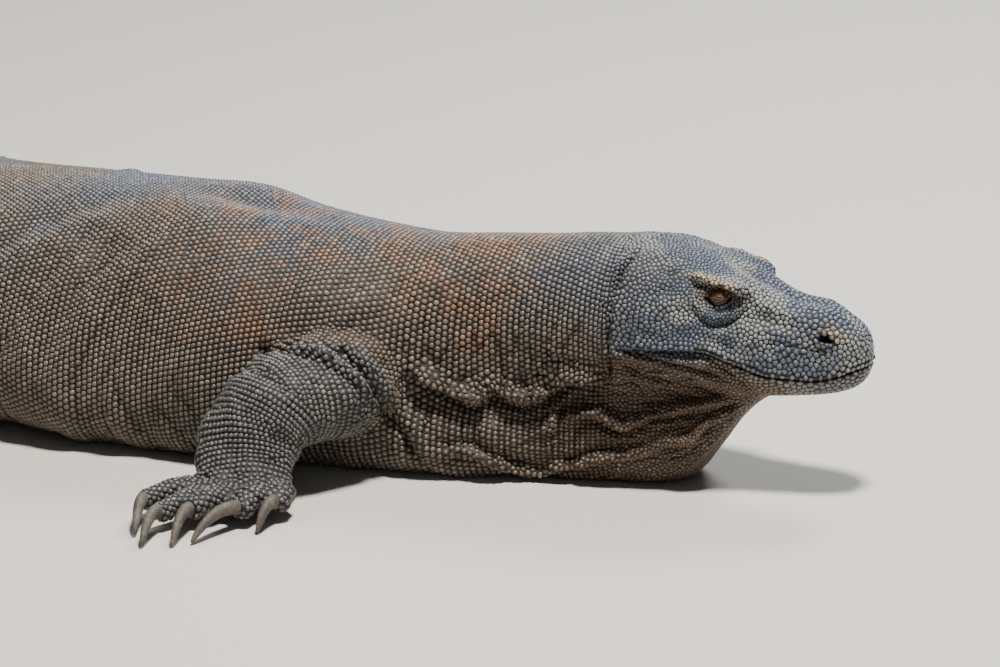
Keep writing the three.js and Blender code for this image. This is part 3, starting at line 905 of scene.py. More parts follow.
# -------------------- the head's own
@dataclass(frozen=True)
class Eye:
    """The eye and the lids that nearly close over it.

    Attributes:
        at, out, z: the middle of the eyeball.
        radius: of the eyeball.
        lid: how thick the lids are.
        slit: how far under the middle the slit between the lids is at its lowest.
        rise: how far each end of the slit lies over its lowest point.
        reach: half the length of the slit.
        gap: half the height of the slit.
        hollow: how deep the socket is sunk round the lids.
    """

    at: float = 131.0
    out: float = 40.6
    z: float = 183.0
    radius: float = 9.5
    lid: float = 1.0
    slit: float = 2.4
    rise: float = 4.0
    reach: float = 11.5
    gap: float = 2.1
    hollow: float = 4.2

    BLEND = 1.5  # how softly the lids rise from the socket
    ROLL = 21.0  # half the length of the lower lid
    SLIT_DEPTH = 5.5
    # height over the slit and bend of each wrinkle of the upper lid
    WRINKLES = ((4.4, 0.5), (6.0, -0.4), (7.5, 0.3), (9.0, -0.5))
    # height against the lower lid's middle, rise and width of the lid and of the creases along it
    LOWER_LID = Bump(0.0, 5.0, 4.6)
    LOWER_CREASES = (Bump(-8.4, 1.7, 2.2), Bump(-1.5, 0.7, 0.9))
    UNDER_SLIT = Bump(-4.6, 0.7, 0.8)

    def slit_height(self, a: Array) -> Array:
        """Height of the slit over the eyeball's middle, at a distance ahead of it."""
        return -self.slit + self.rise * (a / self.reach) ** 2

    def lower_height(self, a: Array) -> Array:
        """Height of the thick lower lid's middle over the eyeball's middle."""
        return -14.5 + 12.5 * ((a - 2) / self.ROLL) ** 2

    def shape(self, at: Array, left: Array, height: Array) -> Array:
        """How far out from the spine each point moves to form socket, lids and slit.

        Args:
            at, left, height: body measures of the points.

        Returns:
            A distance for each.
        """
        a, b, out = self.at - at, height - self.z, np.abs(left)
        near = np.sqrt(((a - 2) / 28) ** 2 + ((b + 7) / 22) ** 2)
        weight = smoothstep(1.0, 0.78, near) * smoothstep(12.5, 8.5, b) * (out > 22)
        span = a * a + b * b
        lids = self.out + np.sqrt(np.maximum((self.radius + self.lid) ** 2 - span, 0))
        lids = np.where(span < (self.radius + self.lid) ** 2, lids, 0)
        socket = out - self.hollow * smoothstep(1.0, 0.55, near)
        form = np.maximum(lids, socket) + self.BLEND * np.exp(-np.abs(lids - socket) / self.BLEND) * 0.5
        return (form + self._lids(a, b) - out) * weight

    def _lids(self, a: Array, b: Array) -> Array:
        """How far the lids' rolls and wrinkles stand out, and how deep the slit is.

        Args:
            a, b: how far ahead of the eyeball's middle and over it.

        Returns:
            A distance outwards for each place.
        """
        line = b - self.slit_height(a)
        ends = smoothstep(1.35, 0.9, np.abs(a) / self.reach)
        wide = smoothstep(1.2, 0.85, np.abs(a - 2) / self.ROLL)
        lower = b - self.lower_height(a)
        form = wide * self.LOWER_LID.at(lower) * smoothstep(1.0, -2.0, line)
        form -= wide * sum(crease.at(lower) for crease in self.LOWER_CREASES)
        for wrinkle, bend in self.WRINKLES:
            fine = line - wrinkle - bend * np.sin(a * 0.55 + wrinkle) - 0.012 * a * a
            form -= ends * (Bump(0, 0.5, 0.7).at(fine) - Bump(-0.8, 0.5, 0.35).at(fine))
        form -= ends * self.UNDER_SLIT.at(line)
        slit = self.gap * np.sqrt(np.maximum(1 - (a / self.reach) ** 2, 0))
        inside = smoothstep(0.5, -0.3, np.abs(line) - slit) * (np.abs(a) < self.reach)
        return form - inside * self.SLIT_DEPTH

    def bare(self, at: Array, height: Array) -> Array:
        """Where no scale grows: in the slit and on the wrinkled upper lid.

        Args:
            at, height: body measures of the points.

        Returns:
            Whether each is bare.
        """
        a, b = self.at - at, height - self.z
        slit = (np.abs(b - self.slit_height(a)) < self.gap + 0.9) & (np.abs(a) < self.reach + 0.5)
        return slit | ((a * a + b * b < (self.radius + 0.6) ** 2) & (b > self.slit_height(a)))

    def lid_mask(self, at: Array, left: Array, height: Array) -> Array:
        """Where the bare skin of the upper lid shows, from 0 to 1.

        Args:
            at, left, height: body measures of the points.

        Returns:
            A value for each.
        """
        a, b = self.at - at, height - self.z
        above = smoothstep(self.gap - 1.2, self.gap - 0.2, b - self.slit_height(a))
        return smoothstep(14, 11.5, np.hypot(a, b)) * above * (np.abs(left) > 30)


@dataclass(frozen=True)
class Nostril:
    """A slanting oval nostril with a raised rim.

    Attributes:
        at, z: its middle.
        long, tall: half sizes of the opening.
        dip: degrees that its front end hangs down.
        depth: how deep it is.
        rim: how high its rim stands.
    """

    at: float = 36.0
    z: float = 151.5
    long: float = 8.0
    tall: float = 4.2
    dip: float = 14.0
    depth: float = 9.0
    rim: float = 1.9

    def ring(self, at: Array, height: Array) -> Array:
        """1 on the edge of the opening, less inside it and more outside.

        Args:
            at, height: body measures of the points.

        Returns:
            A value for each.
        """
        turn = math.radians(self.dip)
        a, b = self.at - at, height - self.z
        along, across = a * math.cos(turn) - b * math.sin(turn), a * math.sin(turn) + b * math.cos(turn)
        return np.sqrt((along / self.long) ** 2 + (across / self.tall) ** 2)

    def shape(self, at: Array, left: Array, height: Array) -> Array:
        """How far each point moves along its normal.

        Args:
            at, left, height: body measures of the points.

        Returns:
            A distance for each.
        """
        ring = self.ring(at, height)
        side = (np.abs(left) > 12) & (ring < 3)
        pit = -self.depth * smoothstep(1.0, 0.55, ring)
        rim = self.rim * np.exp(-(((ring - 1.28) / 0.25) ** 2))
        return np.where(side, pit + rim, 0.0)


EYE = Eye()
NOSTRIL = Nostril()
BACK = (-1.0, 0.0)  # a fold's direction, as (ahead, up)
HEAD_END = 230
MOUTH = (
    (0, 5, 125), (4, 15, 123.5), (10, 22, 122.5), (25, 31, 116), (48, 37, 112), (65, 41, 113),
    (83, 45, 114), (95, 48, 117), (108, 51, 123), (122, 55, 130), (139, 60, 136), (155, 64, 138),
    (177, 68, 138.5), (195, 71, 138), (206, 71.5, 136),
)


def mouth_height(at: Array) -> Array:
    """Height of the line of the mouth, at distances behind the snout."""
    return np.interp(at, [place[0] for place in MOUTH], [place[2] for place in MOUTH])


FOLDS = (
    # the mouth: a fine dark line with the upper lip over it
    Fold(MOUTH, (Bump(0, 1.2, -3.4), Bump(3.0, 2.0, 1.3), Bump(-3.0, 2.0, 0.6)), fade=0.02),
    # the cheek overhangs the corner of the mouth
    Fold(
        ((206, 71, 139), (195, 70, 138), (177, 67, 138), (155, 63, 138), (139, 59, 137), (122, 54, 130),
         (108, 50, 124)),
        (Bump(-1.5, 2.2, -4.6), Bump(5.5, 5.0, 3.4), Bump(-9, 4.0, 1.6)), roll=0.35, fade=0.2,
    ),
    # the lower lip's own border, down to the throat
    Fold(
        ((165, 65, 134), (150, 62, 133), (136, 58, 131), (122, 54, 122), (110, 49, 110), (103, 40, 98),
         (99, 30, 91)),
        (Bump(0, 1.6, -2.4), Bump(-4, 3.0, 1.4)),
    ),
    # from the nostril back over the lip
    Fold(
        ((30, 32, 140), (44, 37, 142), (57, 40, 144), (74, 43, 145.5), (91, 47, 147)),
        (Bump(0, 1.3, -1.8), Bump(-3, 2.4, 0.9)),
    ),
    # the brow's edge, and the hollow in front of the eye
    Fold(
        ((160, 47, 201), (151, 47, 203), (142, 48, 203), (132, 49, 201), (122, 48, 198), (114, 45, 194),
         (107, 41, 188)),
        (Bump(1.0, 3.2, 5.0), Bump(-6.5, 3.0, -3.4)), fade=0.2, roll=0.55,
    ),
    # the crease under the eye
    Fold(
        ((146, 58, 164), (137, 58, 159), (128, 56, 158), (119, 53, 161), (112, 50, 167), (108, 46, 174),
         (107, 43, 180)),
        (Bump(0, 1.3, -1.7), Bump(-3.2, 2.4, 0.8)),
    ),
    # the deep groove behind the head, where the ear is
    Fold(
        ((206, 20, 219), (211, 35, 214), (217, 47, 206), (221, 56, 197), (223, 63, 186),
         (224, 69, 171), (225, 71, 157), (226, 72, 138), (225, 70, 119), (230, 61, 101), (238, 54, 88)),
        (Bump(0, 2.3, -6.5), Bump(-6, 4.5, 3.4), Bump(5.5, 4.0, 2.2)), toward=BACK, fade=0.2,
    ),
    # the opening of the ear in it
    Fold(
        ((218, 49, 203), (220, 54, 199), (222, 59, 193), (223, 62, 187), (224, 64, 180)),
        (Bump(0, 3.2, -7.0),), toward=BACK, fade=0.3,
    ),
    # folds that run back from the jaw
    Fold(
        ((222, 70, 137), (208, 71, 135), (186, 69, 131), (154, 62, 123), (133, 56, 115), (114, 46, 104)),
        (Bump(0, 1.8, -3.4), Bump(4, 3.0, 1.2), Bump(-5, 3.4, 2.2)),
    ),
    Fold(
        ((216, 69, 121), (197, 66, 112), (176, 60, 104), (147, 48, 96), (117, 36, 91)),
        (Bump(0, 2.0, -3.8), Bump(-5, 3.5, 2.6)),
    ),
    Fold(
        ((218, 62, 100), (200, 57, 96), (180, 54, 92), (158, 48, 90), (130, 38, 90)),
        (Bump(0, 1.8, -3.0), Bump(-4.5, 3.0, 2.0)),
    ),
    # the ridge from the brow to the nostril
    Fold(
        ((106, 36, 182), (88, 33, 176), (70, 30, 170), (52, 27, 165)),
        (Bump(0, 6.0, 2.2), Bump(-9, 6.0, -1.6)), fade=0.3,
    ),
    # the shelf of loose skin along the side of the neck
    Fold(
        ((415, 101, 100), (398, 96, 97), (385, 90, 90), (370, 83, 83), (350, 79, 75), (340, 77, 80),
         (334, 75, 87), (327, 73, 86), (318, 72, 80), (304, 69, 77), (291, 66, 81), (279, 63, 90),
         (264, 62, 99), (250, 61, 102), (240, 58, 99), (230, 54, 92)),
        (Bump(6, 7.0, 10.0), Bump(-5, 5.0, -9.0), Bump(-17, 10, -5.0)), roll=0.5, fade=0.1,
    ),
    # the fold that runs down from it
    Fold(
        ((272, 62, 84), (276, 66, 76), (278, 69, 60), (280, 71, 43), (280, 71, 27)),
        (Bump(0, 3.4, 5.4), Bump(-7, 4.5, -4.0), Bump(7, 4.5, -3.0)), toward=BACK,
    ),
    # the ridge in front of that fold
    Fold(
        ((268, 66, 60), (258, 63, 67), (250, 61, 69), (236, 60, 69), (225, 59, 63), (216, 58, 59),
         (202, 57, 66), (191, 55, 72), (169, 52, 78), (142, 47, 84), (120, 36, 88)),
        (Bump(1, 4.0, 7.0), Bump(-7, 4.5, -6.0), Bump(11, 6, -3.0)), roll=0.4,
    ),
    # the low roll along the throat
    Fold(
        ((400, 103, 22), (375, 96, 26), (356, 91, 29), (339, 86, 25), (325, 78, 17), (311, 70, 12),
         (292, 63, 9), (277, 63, 16), (259, 61, 18), (240, 60, 26), (213, 58, 31), (195, 56, 37),
         (177, 54, 47), (161, 52, 51), (150, 49, 55), (142, 47, 68), (128, 42, 77)),
        (Bump(0, 4.5, 6.5), Bump(9, 5.5, -5.0), Bump(-8, 4, -2.4)), roll=-0.1,
    ),
    # creases that spread from the corner of the jaw over the front of the throat
    Fold(
        ((108, 30, 85), (129, 42, 79), (146, 48, 68), (157, 51, 57), (179, 54, 50)),
        (Bump(0, 2.0, -4.2), Bump(-5, 3, 3.0)),
    ),
    Fold(
        ((112, 30, 76), (124, 38, 62), (138, 46, 46), (156, 50, 34), (186, 54, 26)),
        (Bump(0, 2.0, -3.6), Bump(5, 3, 2.4)),
    ),
    Fold(((110, 22, 70), (120, 32, 52), (132, 42, 34), (150, 48, 18)), (Bump(0, 2.0, -3.2), Bump(5, 3, 2.0))),
    # where the foreleg meets the breast
    Fold(
        ((540, 134, 112), (528, 138, 118), (495, 146, 127), (473, 144, 129), (452, 138, 126),
         (437, 139, 115), (427, 134, 97), (420, 116, 70), (409, 105, 48), (399, 102, 30), (392, 92, 12)),
        (Bump(0, 4.5, -9.0), Bump(10, 7, 5.0)), toward=(1.0, 0.25), fade=0.12,
    ),
    Fold(
        ((500, 160, 128), (477, 163, 127), (460, 161, 122), (442, 156, 111), (432, 150, 95), (427, 140, 76)),
        (Bump(0, 2.8, -4.4), Bump(7, 4, 3.0)), toward=(1.0, 0.25), fade=0.25,
    ),
    # the long fold of the flank
    Fold(
        ((1010, 128, 120), (940, 144, 134), (870, 142, 148), (794, 130, 163), (774, 112, 177),
         (751, 93, 190), (716, 66, 205), (681, 54, 212)),
        (Bump(-8, 20, 4.0), Bump(20, 18, -6.0)), (Side.RIGHT,), fade=0.35,
    ),
)
SWELLINGS = (
    Swelling((185, 62, 165), (26, 22, 24), 4.0),  # the muscle of the jaw
    Swelling((95, 40, 168), (24, 14, 12), -4.5),  # the hollow between eye and nostril
    Swelling((44, 20, 174), (18, 14, 14), 4.5),  # the bulge of the snout over the nostrils
    Swelling((20, 24, 148), (14, 14, 12), 2.6),  # the snout beside the nostrils
    Swelling((72, 0, 178), (18, 10, 16), -2.5),  # the groove along the snout
    Swelling((105, 0, 200), (30, 12, 16), -3.0),  # the groove between the brows
    Swelling((176, 40, 214), (24, 16, 12), 2.4),  # the back corners of the skull
    Swelling((612, 60, 212), (46, 34, 24), 5.0),  # shoulder blades
    Swelling((600, 0, 222), (60, 22, 18), -4.0),  # the groove between them
    Swelling((480, 100, 150), (40, 34, 40), 4.0),  # the muscle of the shoulder
    Swelling((640, 150, 120), (34, 30, 50), -5.0),  # behind the elbow
    Swelling((1165, 80, 190), (60, 30, 26), 5.0),  # hips
)


RELIEFS = (
    Relief(232, 440, 20, 165, 15, 75, 6, 2.6, 2.0),  # upright wrinkles of the neck
    Relief(300, 560, 0, 180, 34, 60, 30, 1.6, 2.6),  # lumps of neck and shoulder
    Relief(560, 1260, 10, 190, 26, 120, 24, 2.8, 4.0, soft=60),  # the flank
    Relief(560, 1260, 0, 190, 75, 75, -20, 0.0, 4.5, soft=60),  # its broad, soft lumps
    Relief(110, 330, 4, 126, 60, 9, 8, 1.8, 1.6),  # lengthwise folds of the throat
    Relief(0, 215, 145, 225, 11, 11, 0, 0.0, 1.1),  # the uneven skull
    Relief(330, 1420, 0, 190, 26, 17, 20, 1.5, 1.6, limbs=True),
    Relief(1240, 2500, 4, 120, 36, 70, 0, 0.9, 1.2, soft=80),  # the tail
)


def shape_skin(mesh: bpy.types.Mesh) -> None:
    """Moves the plain skin into its folds, lids, nostrils and muscles.

    Args:
        mesh: the plain skin, in fine faces.
    """
    points = coordinates(mesh)
    at, left, height = SPINE.locate(points)
    normals = vertex_normals(mesh)
    points += sum(form.move(at, left, height, normals) for form in SWELLINGS + RELIEFS)
    points += sum(fold.move(points, normals) for fold in FOLDS)
    at, left, height = SPINE.locate(points)
    near = np.nonzero(at < HEAD_END)[0]
    part = at[near], left[near], height[near]
    points[near] += SPINE.leftward(part[0]) * (np.sign(part[1]) * EYE.shape(*part))[:, None]
    points[near] += normals[near] * NOSTRIL.shape(*part)[:, None]
    points[:, 2] = np.maximum(points[:, 2], FLOOR_REST)
    set_coordinates(mesh, points)


# -------------------- skin
class Zone(Enum):
    """Names of the masks that skin and coat carry, each a float attribute."""

    HEAD = "head"
    THROAT = "throat"
    LIMB = "limb"
    # the top of the back, which carries a painted bluish-grey sheen
    BACK = "back"
    RUST = "rust"
    BROW = "brow"
    LID = "lid"
    TINT = "tint"
    # how far a point stands out of the gaps; the colour takes painted shade and painted highlight from it
    LIFT = "lift"


# Distance behind the snout and height of the throat's upper border, and of the edge of the brow.
THROAT_LINE = (
    (0, 92), (60, 97), (80, 106), (96, 112), (125, 127), (200, 134), (226, 131), (238, 104), (330, 92),
    (425, 70),
)
BROW_LINE = ((107, 188), (114, 195), (122, 199), (132, 201.5), (142, 204), (159, 203))


def zones(at: Array, left: Array, height: Array) -> dict[Zone, Array]:
    """The masks of the markings at places given by body measures.

    Args:
        at, left, height: body measures of the points.

    Returns:
        A value from 0 to 1 for each point, by mask.
    """
    out = np.abs(left)
    top = np.where(at < 222, TRUNK.head["top"](at), TRUNK.body["top"](at))
    throat_line = np.interp(at, *zip(*THROAT_LINE))
    limb = smoothstep(4, 26, out - TRUNK.half(at)) * (at > 350)
    throat = smoothstep(8, -8, height - throat_line) * smoothstep(440, 300, at) * (1 - limb)
    nape = 236 + 70 * smoothstep(0.55, 0.95, height / top)
    head = smoothstep(nape, 2 * 216 - nape + 10, at) * (1 - throat)
    throat *= 1 - 0.6 * smoothstep(225, 330, at)
    # the top of the back, where the painted bluish-grey sheen lies
    back = smoothstep(0.62, 0.93, height / top) * (1 - head) * (1 - limb)
    rust = smoothstep(250, 330, at) * smoothstep(720, 560, at) * smoothstep(70, 130, height) * (1 - limb)
    ridge = np.interp(at, *zip(*BROW_LINE))
    brow = np.exp(-(((at - 134) / 26) ** 4) - ((height - ridge - 0.8) / 3.6) ** 2) * smoothstep(38, 43, out)
    nostril = NOSTRIL.ring(at + 6, height - 4)
    brow = np.maximum(brow, 0.8 * np.exp(-(((nostril - 0.6) / 0.8) ** 2)) * (at < 60) * (out > 12))
    lip = np.exp(-(((height - mouth_height(at) + 5) / 7) ** 2)) * smoothstep(170, 120, at)
    brow = np.maximum(brow, 0.38 * lip)
    a, b = (EYE.at - at) / 17, (height - EYE.z - 5) / 9.5
    lid = np.exp(-((a * a + b * b) ** 2)) * (out > 32) * (1 - 0.8 * brow)
    return {
        Zone.HEAD: head, Zone.THROAT: throat, Zone.LIMB: limb, Zone.BACK: back, Zone.RUST: rust,
        Zone.BROW: brow, Zone.LID: lid,
    }


def add_attribute(mesh: bpy.types.Mesh, zone: Zone, values: Array) -> None:
    """Stores a mask on a mesh's vertices."""
    attribute = mesh.attributes.new(zone.value, "FLOAT", "POINT")
    attribute.data.foreach_set("value", np.ascontiguousarray(values, np.float32))


class Surface:
    """Finds the nearest place and the smooth normal of a triangle mesh."""

    def __init__(self, obj: bpy.types.Object) -> None:
        """Reads the object's mesh, whose faces are triangles.

        Args:
            obj: the object.
        """
        mesh = obj.data
        self.points = coordinates(mesh)
        self.normals = vertex_normals(mesh)
        index = np.empty(len(mesh.loops), np.int32)
        mesh.loops.foreach_get("vertex_index", index)
        self.faces = index.reshape(-1, 3)
        self.corners = self.points[self.faces]
        self.face_normals = unit(self.normals[self.faces].sum(1))
        self.tree = BVHTree.FromObject(obj, bpy.context.evaluated_depsgraph_get())

    def nearest(self, points: Array) -> tuple[Array, Array, Array]:
        """Places on the surface nearest to points in millimetres, their normals and distances."""
        places, index, gaps = self._find(points)
        return places, self.face_normals[index], gaps

    def _find(self, points: Array) -> tuple[Array, Array, Array]:
        """Nearest places, the faces that they lie in, and distances.

        Args:
            points: in millimetres.

        Returns:
            The places, the numbers of the faces, and the distances.
        """
        found = [self.tree.find_nearest(Vector(p)) for p in points * MM]
        places = np.array([f[0] for f in found]) / MM
        return places, np.array([f[2] for f in found]), np.array([f[3] for f in found]) / MM

    def carry(self, points: Array, shaped: "Surface") -> tuple[Array, Array, Array, Array]:
        """Takes points along when the surface is shaped.

        Args:
            points: near this surface, in millimetres.
            shaped: the same mesh after it was shaped.

        Returns:
            Their places and normals on the shaped surface, the normals here and the distances here.
        """
        places, index, gaps = self._find(points)
        a, b, c = (self.corners[index, k] for k in range(3))
        whole = np.cross(b - a, c - a)
        square = np.maximum((whole**2).sum(1), 1e-9)
        second = (np.cross(places - a, c - a) * whole).sum(1) / square
        third = (np.cross(b - a, places - a) * whole).sum(1) / square
        share = np.clip(np.stack([1 - second - third, second, third], 1), 0, 1)
        share = (share / share.sum(1, keepdims=True))[..., None]
        moved = (shaped.corners[index] * share).sum(1)
        normals = unit((shaped.normals[self.faces[index]] * share).sum(1))
        return moved, normals, self.face_normals[index], gaps


Region = Callable[[Array, Array, Array], Array]  # a test of body measures


class Skin:
    """The single skin that stands for all the flesh."""

    VOXEL = 3.0
    SIDES = 144
    MOST_TRIANGLES = 190000
    LID_LIFT = 0.34  # how far the bare upper lid's colour rises out of the near-black gap colour, which is partly painted shade
    # first, last and step of the rings along the spine
    RING_SPANS = ((0.6, 250, 2.5), (250, 560, 5), (560, 1300, 10), (1300, 2611, 12))
    BROW_PLACE, BROW_SIZE, BROW_TILT = (131, 37, 197), (33, 11, 8), 14

    def __init__(self) -> None:
        """Joins the forms, refines the head and shapes the folds."""
        self.obj = self._plain()
        mesh = self.obj.data
        self._relax(mesh)
        self._refine(mesh, lambda at, left, height: (at < 236) | ((at < 430) & (height < 135)))
        self._refine(mesh, self._fine)
        self._refine(mesh, self._finest, last=True)
        self.plain = Surface(self.obj)
        shape_skin(mesh)
        self.surface = Surface(self.obj)
        log.info("skin: %d triangles before thinning", len(mesh.polygons))

    @staticmethod
    def _shells() -> Iterable[bmesh.types.BMesh]:
        """The closed forms that the skin is joined from.

        Yields:
            One bmesh for each.
        """
        rings = np.concatenate([np.arange(*span) for span in Skin.RING_SPANS])
        out, height = TRUNK.rings(rings, Skin.SIDES)
        points = SPINE.place(np.repeat(rings[:, None], Skin.SIDES, 1), out, height)
        tip, end = SPINE.place(-0.8, 0, 134), SPINE.place(2612, 0, 7)
        yield loft(points, tip, end)
        for side in Side:
            bm = bmesh.new()
            bmesh.ops.create_uvsphere(bm, u_segments=40, v_segments=24, radius=1.0)
            at, out, height = Skin.BROW_PLACE
            centre = SPINE.place(at, side.value * out, height) * MM
            heading = math.radians(float(SPINE.heading(at)))
            turn = Euler((0, math.radians(Skin.BROW_TILT), heading), "XYZ").to_matrix()
            size = Vector(half - COAT for half in Skin.BROW_SIZE) * MM
            for vert in bm.verts:
                vert.co = Vector(centre) + turn @ Vector(a * b for a, b in zip(vert.co, size))
            yield bm
        for limb in LIMBS:
            tubes = [Tube(chain, 24) for chain in limb.chains()]
            tubes += [Tube(limb.digit(i), 20) for i in range(len(limb.plan.digits))]
            for tube in tubes:
                rings = tube.points(32)
                rings[..., 2] = np.maximum(rings[..., 2], FLOOR_REST)
                yield loft(rings, tube.centres[0], tube.centres[-1])

    def _plain(self) -> bpy.types.Object:
        """The forms joined into one closed skin.

        Returns:
            The object.
        """
        obj = object_of("skin", joined(self._shells()))
        remesh = obj.modifiers.new("join", "REMESH")
        remesh.mode = "VOXEL"
        remesh.voxel_size = self.VOXEL * MM
        apply_modifiers(obj)
        return obj

    @staticmethod
    def _relax(mesh: bpy.types.Mesh) -> None:
        """Softens the whole skin a little, and more where limbs meet the trunk.

        Args:
            mesh: the skin.
        """
        at, left, _ = SPINE.locate(coordinates(mesh))
        half = TRUNK.body["half"](at)
        joint = np.zeros(len(at), bool)
        for plan in (FORE, HIND):
            joint |= (np.abs(at - plan.anchor + plan.root.ahead) < 105) & (np.abs(np.abs(left) - half) < 32)
        bm = bmesh.new()
        bm.from_mesh(mesh)
        bm.verts.ensure_lookup_table()
        joints = [bm.verts[i] for i in np.nonzero(joint)[0]]
        for verts, rounds in ((bm.verts[:], 5), (joints, 14)):
            for _ in range(rounds):
                bmesh.ops.smooth_vert(
                    bm, verts=verts, factor=0.5, use_axis_x=True, use_axis_y=True, use_axis_z=True
                )
        bm.to_mesh(mesh)
        bm.free()

    @staticmethod
    def _fine(at: Array, left: Array, height: Array) -> Array:
        """Where the face needs fine faces: round the eyes, the nostrils and the mouth.

        Args:
            at, left, height: body measures of the points.

        Returns:
            Whether each is in the region.
        """
        out = np.abs(left)
        mouth = np.abs(height - mouth_height(at)) < 7
        eye = (np.hypot(at - EYE.at, height - EYE.z) < 28) & (out > 24)
        nostril = (NOSTRIL.ring(at, height) < 2.4) & (out > 12)
        return (at < 208) & (eye | nostril | mouth)

    @staticmethod
    def _finest(at: Array, left: Array, height: Array) -> Array:
        """Where the edges of the lids and nostrils are.

        Args:
            at, left, height: body measures of the points.

        Returns:
            Whether each is in the region.
        """
        out = np.abs(left)
        a, b = EYE.at - at, height - EYE.z
        slit = (np.abs(b - EYE.slit_height(a)) < 10) & (np.abs(a) < 16) & (out > 30)
        return slit | ((NOSTRIL.ring(at, height) < 1.7) & (out > 14) & (at < 60))

    @staticmethod
    def _refine(mesh: bpy.types.Mesh, where: Region, last: bool = False) -> None:
        """Divides the faces of a region; the last time, all faces become triangles.

        Args:
            mesh: the skin.
            where: the region.
            last: whether this is the last time.
        """
        chosen = where(*SPINE.locate(coordinates(mesh)))
        bm = bmesh.new()
        bm.from_mesh(mesh)
        bm.verts.ensure_lookup_table()
        inside = set(np.nonzero(chosen)[0].tolist())
        edges = [e for e in bm.edges if e.verts[0].index in inside and e.verts[1].index in inside]
        bmesh.ops.subdivide_edges(bm, edges=edges, cuts=1, use_grid_fill=True)
        wide = bm.faces[:] if last else [f for f in bm.faces if len(f.verts) > 4]
        bmesh.ops.triangulate(bm, faces=wide)
        bm.to_mesh(mesh)
        bm.free()

    def finish(self, material: bpy.types.Material) -> None:
        """Thins the mesh, stores the masks and puts the skin in the frame's place of the flesh.

        Args:
            material: its finish.
        """
        obj = self.obj
        thin = obj.modifiers.new("thin", "DECIMATE")
        thin.ratio = min(1.0, self.MOST_TRIANGLES / len(obj.data.polygons))
        apply_modifiers(obj)
        mesh = obj.data
        mesh.materials.clear()
        mesh.materials.append(material)
        mesh.shade_smooth()
        places = SPINE.locate(coordinates(mesh))
        for zone, values in zones(*places).items():
            add_attribute(mesh, zone, values)
        add_attribute(mesh, Zone.TINT, np.full(len(mesh.vertices), 0.5))
        # the skin's lift stays 0 but on the upper lid, so it takes the near-black gap colour, partly painted
        # shade
        add_attribute(mesh, Zone.LIFT, self.LID_LIFT * EYE.lid_mask(*places))
        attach(obj, "root")
        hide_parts(*(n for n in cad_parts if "claw" not in n and not n.startswith("eye")))
        log.info("skin: %d triangles", len(mesh.polygons))


# -------------------- coat
@dataclass(frozen=True)
class ScaleShape:
    """A small domed plate: an edge in the skin, a shoulder and a crown.

    Attributes:
        sides: how many sides it has.
        gap: the share of its reach that stays free beside it.
        shoulder: the shoulder's share of the reach.
        shoulder_height: its share of the height.
        root: how deep its edge is sunk, as a share of the height.
        lean: how far the crown lies towards the tip, as a share of the half length.
    """

    sides: int = 6
    gap: float = 0.06
    shoulder: float = 0.78
    shoulder_height: float = 0.66
    root: float = -0.25
    lean: float = 0.18

    def turns(self) -> Array:
        """The directions of its corners, as cosines and sines."""
        turns = round_angles(self.sides)
        return np.stack([np.cos(turns), np.sin(turns)], 1)

    def points(self, reach: Array, long: Array, tall: Array) -> Array:
        """Points of many scales, along, across and up: edge, shoulder and crown.

        Args:
            reach: how far each scale goes towards each corner.
            long: half lengths.
            tall: heights.

        Returns:
            Each scale's edge, shoulder and crown.
        """
        plan = reach[..., None] * self.turns() * (1 - self.gap)
        up = tall[:, None, None]
        level = np.repeat(up, self.sides, 1)
        edge = np.concatenate([plan, level * self.root], 2)
        middle = plan.mean(1, keepdims=True)
        inner = middle + (plan - middle) * self.shoulder
        shoulder = np.concatenate([inner, level * self.shoulder_height], 2)
        crown = np.concatenate([middle, up], 2)
        crown[:, 0, 0] += long * self.lean
        return np.concatenate([edge, shoulder, crown], 1)

    def faces(self) -> Array:
        """Its triangles, facing out.

        Returns:
            Rows of three vertex numbers.
        """
        n = self.sides
        faces = []
        for i in range(n):
            j = (i + 1) % n
            faces += [(i, j, n + j), (i, n + j, n + i), (n + i, n + j, 2 * n)]
        return np.array(faces)

    def lift(self) -> Array:
        """How much of each point stands out of the gaps between scales, from 0 to 1."""
        return np.concatenate([np.zeros(self.sides), np.full(self.sides, 0.7), [1.0]])


@dataclass
class Roots:
    """Where scales grow, as rows of equal length.

    Attributes:
        point, normal, along: places in millimetres and directions; along points to the scale's tip.
        long, wide, tall: half sizes.
        patch: places on an unwrap of the surface that the scales grow from.
    """

    point: Array
    normal: Array
    along: Array
    long: Array
    wide: Array
    tall: Array
    patch: Array

    def axes(self) -> tuple[Array, Array]:
        """Directions in the skin towards each scale's tip and across it."""
        along = unit(self.along - (self.along * self.normal).sum(1, keepdims=True) * self.normal)
        return along, np.cross(self.normal, along)

    def take(self, index: Array) -> "Roots":
        """Some of the rows."""
        return Roots(*(getattr(self, name)[index] for name in self.__dataclass_fields__))

    @staticmethod
    def join(parts: Sequence["Roots"]) -> "Roots":
        """All rows of several sets."""
        return Roots(*(np.concatenate([getattr(p, n) for p in parts]) for n in Roots.__dataclass_fields__))

    def __len__(self) -> int:
        """How many scales there are."""
        return len(self.point)


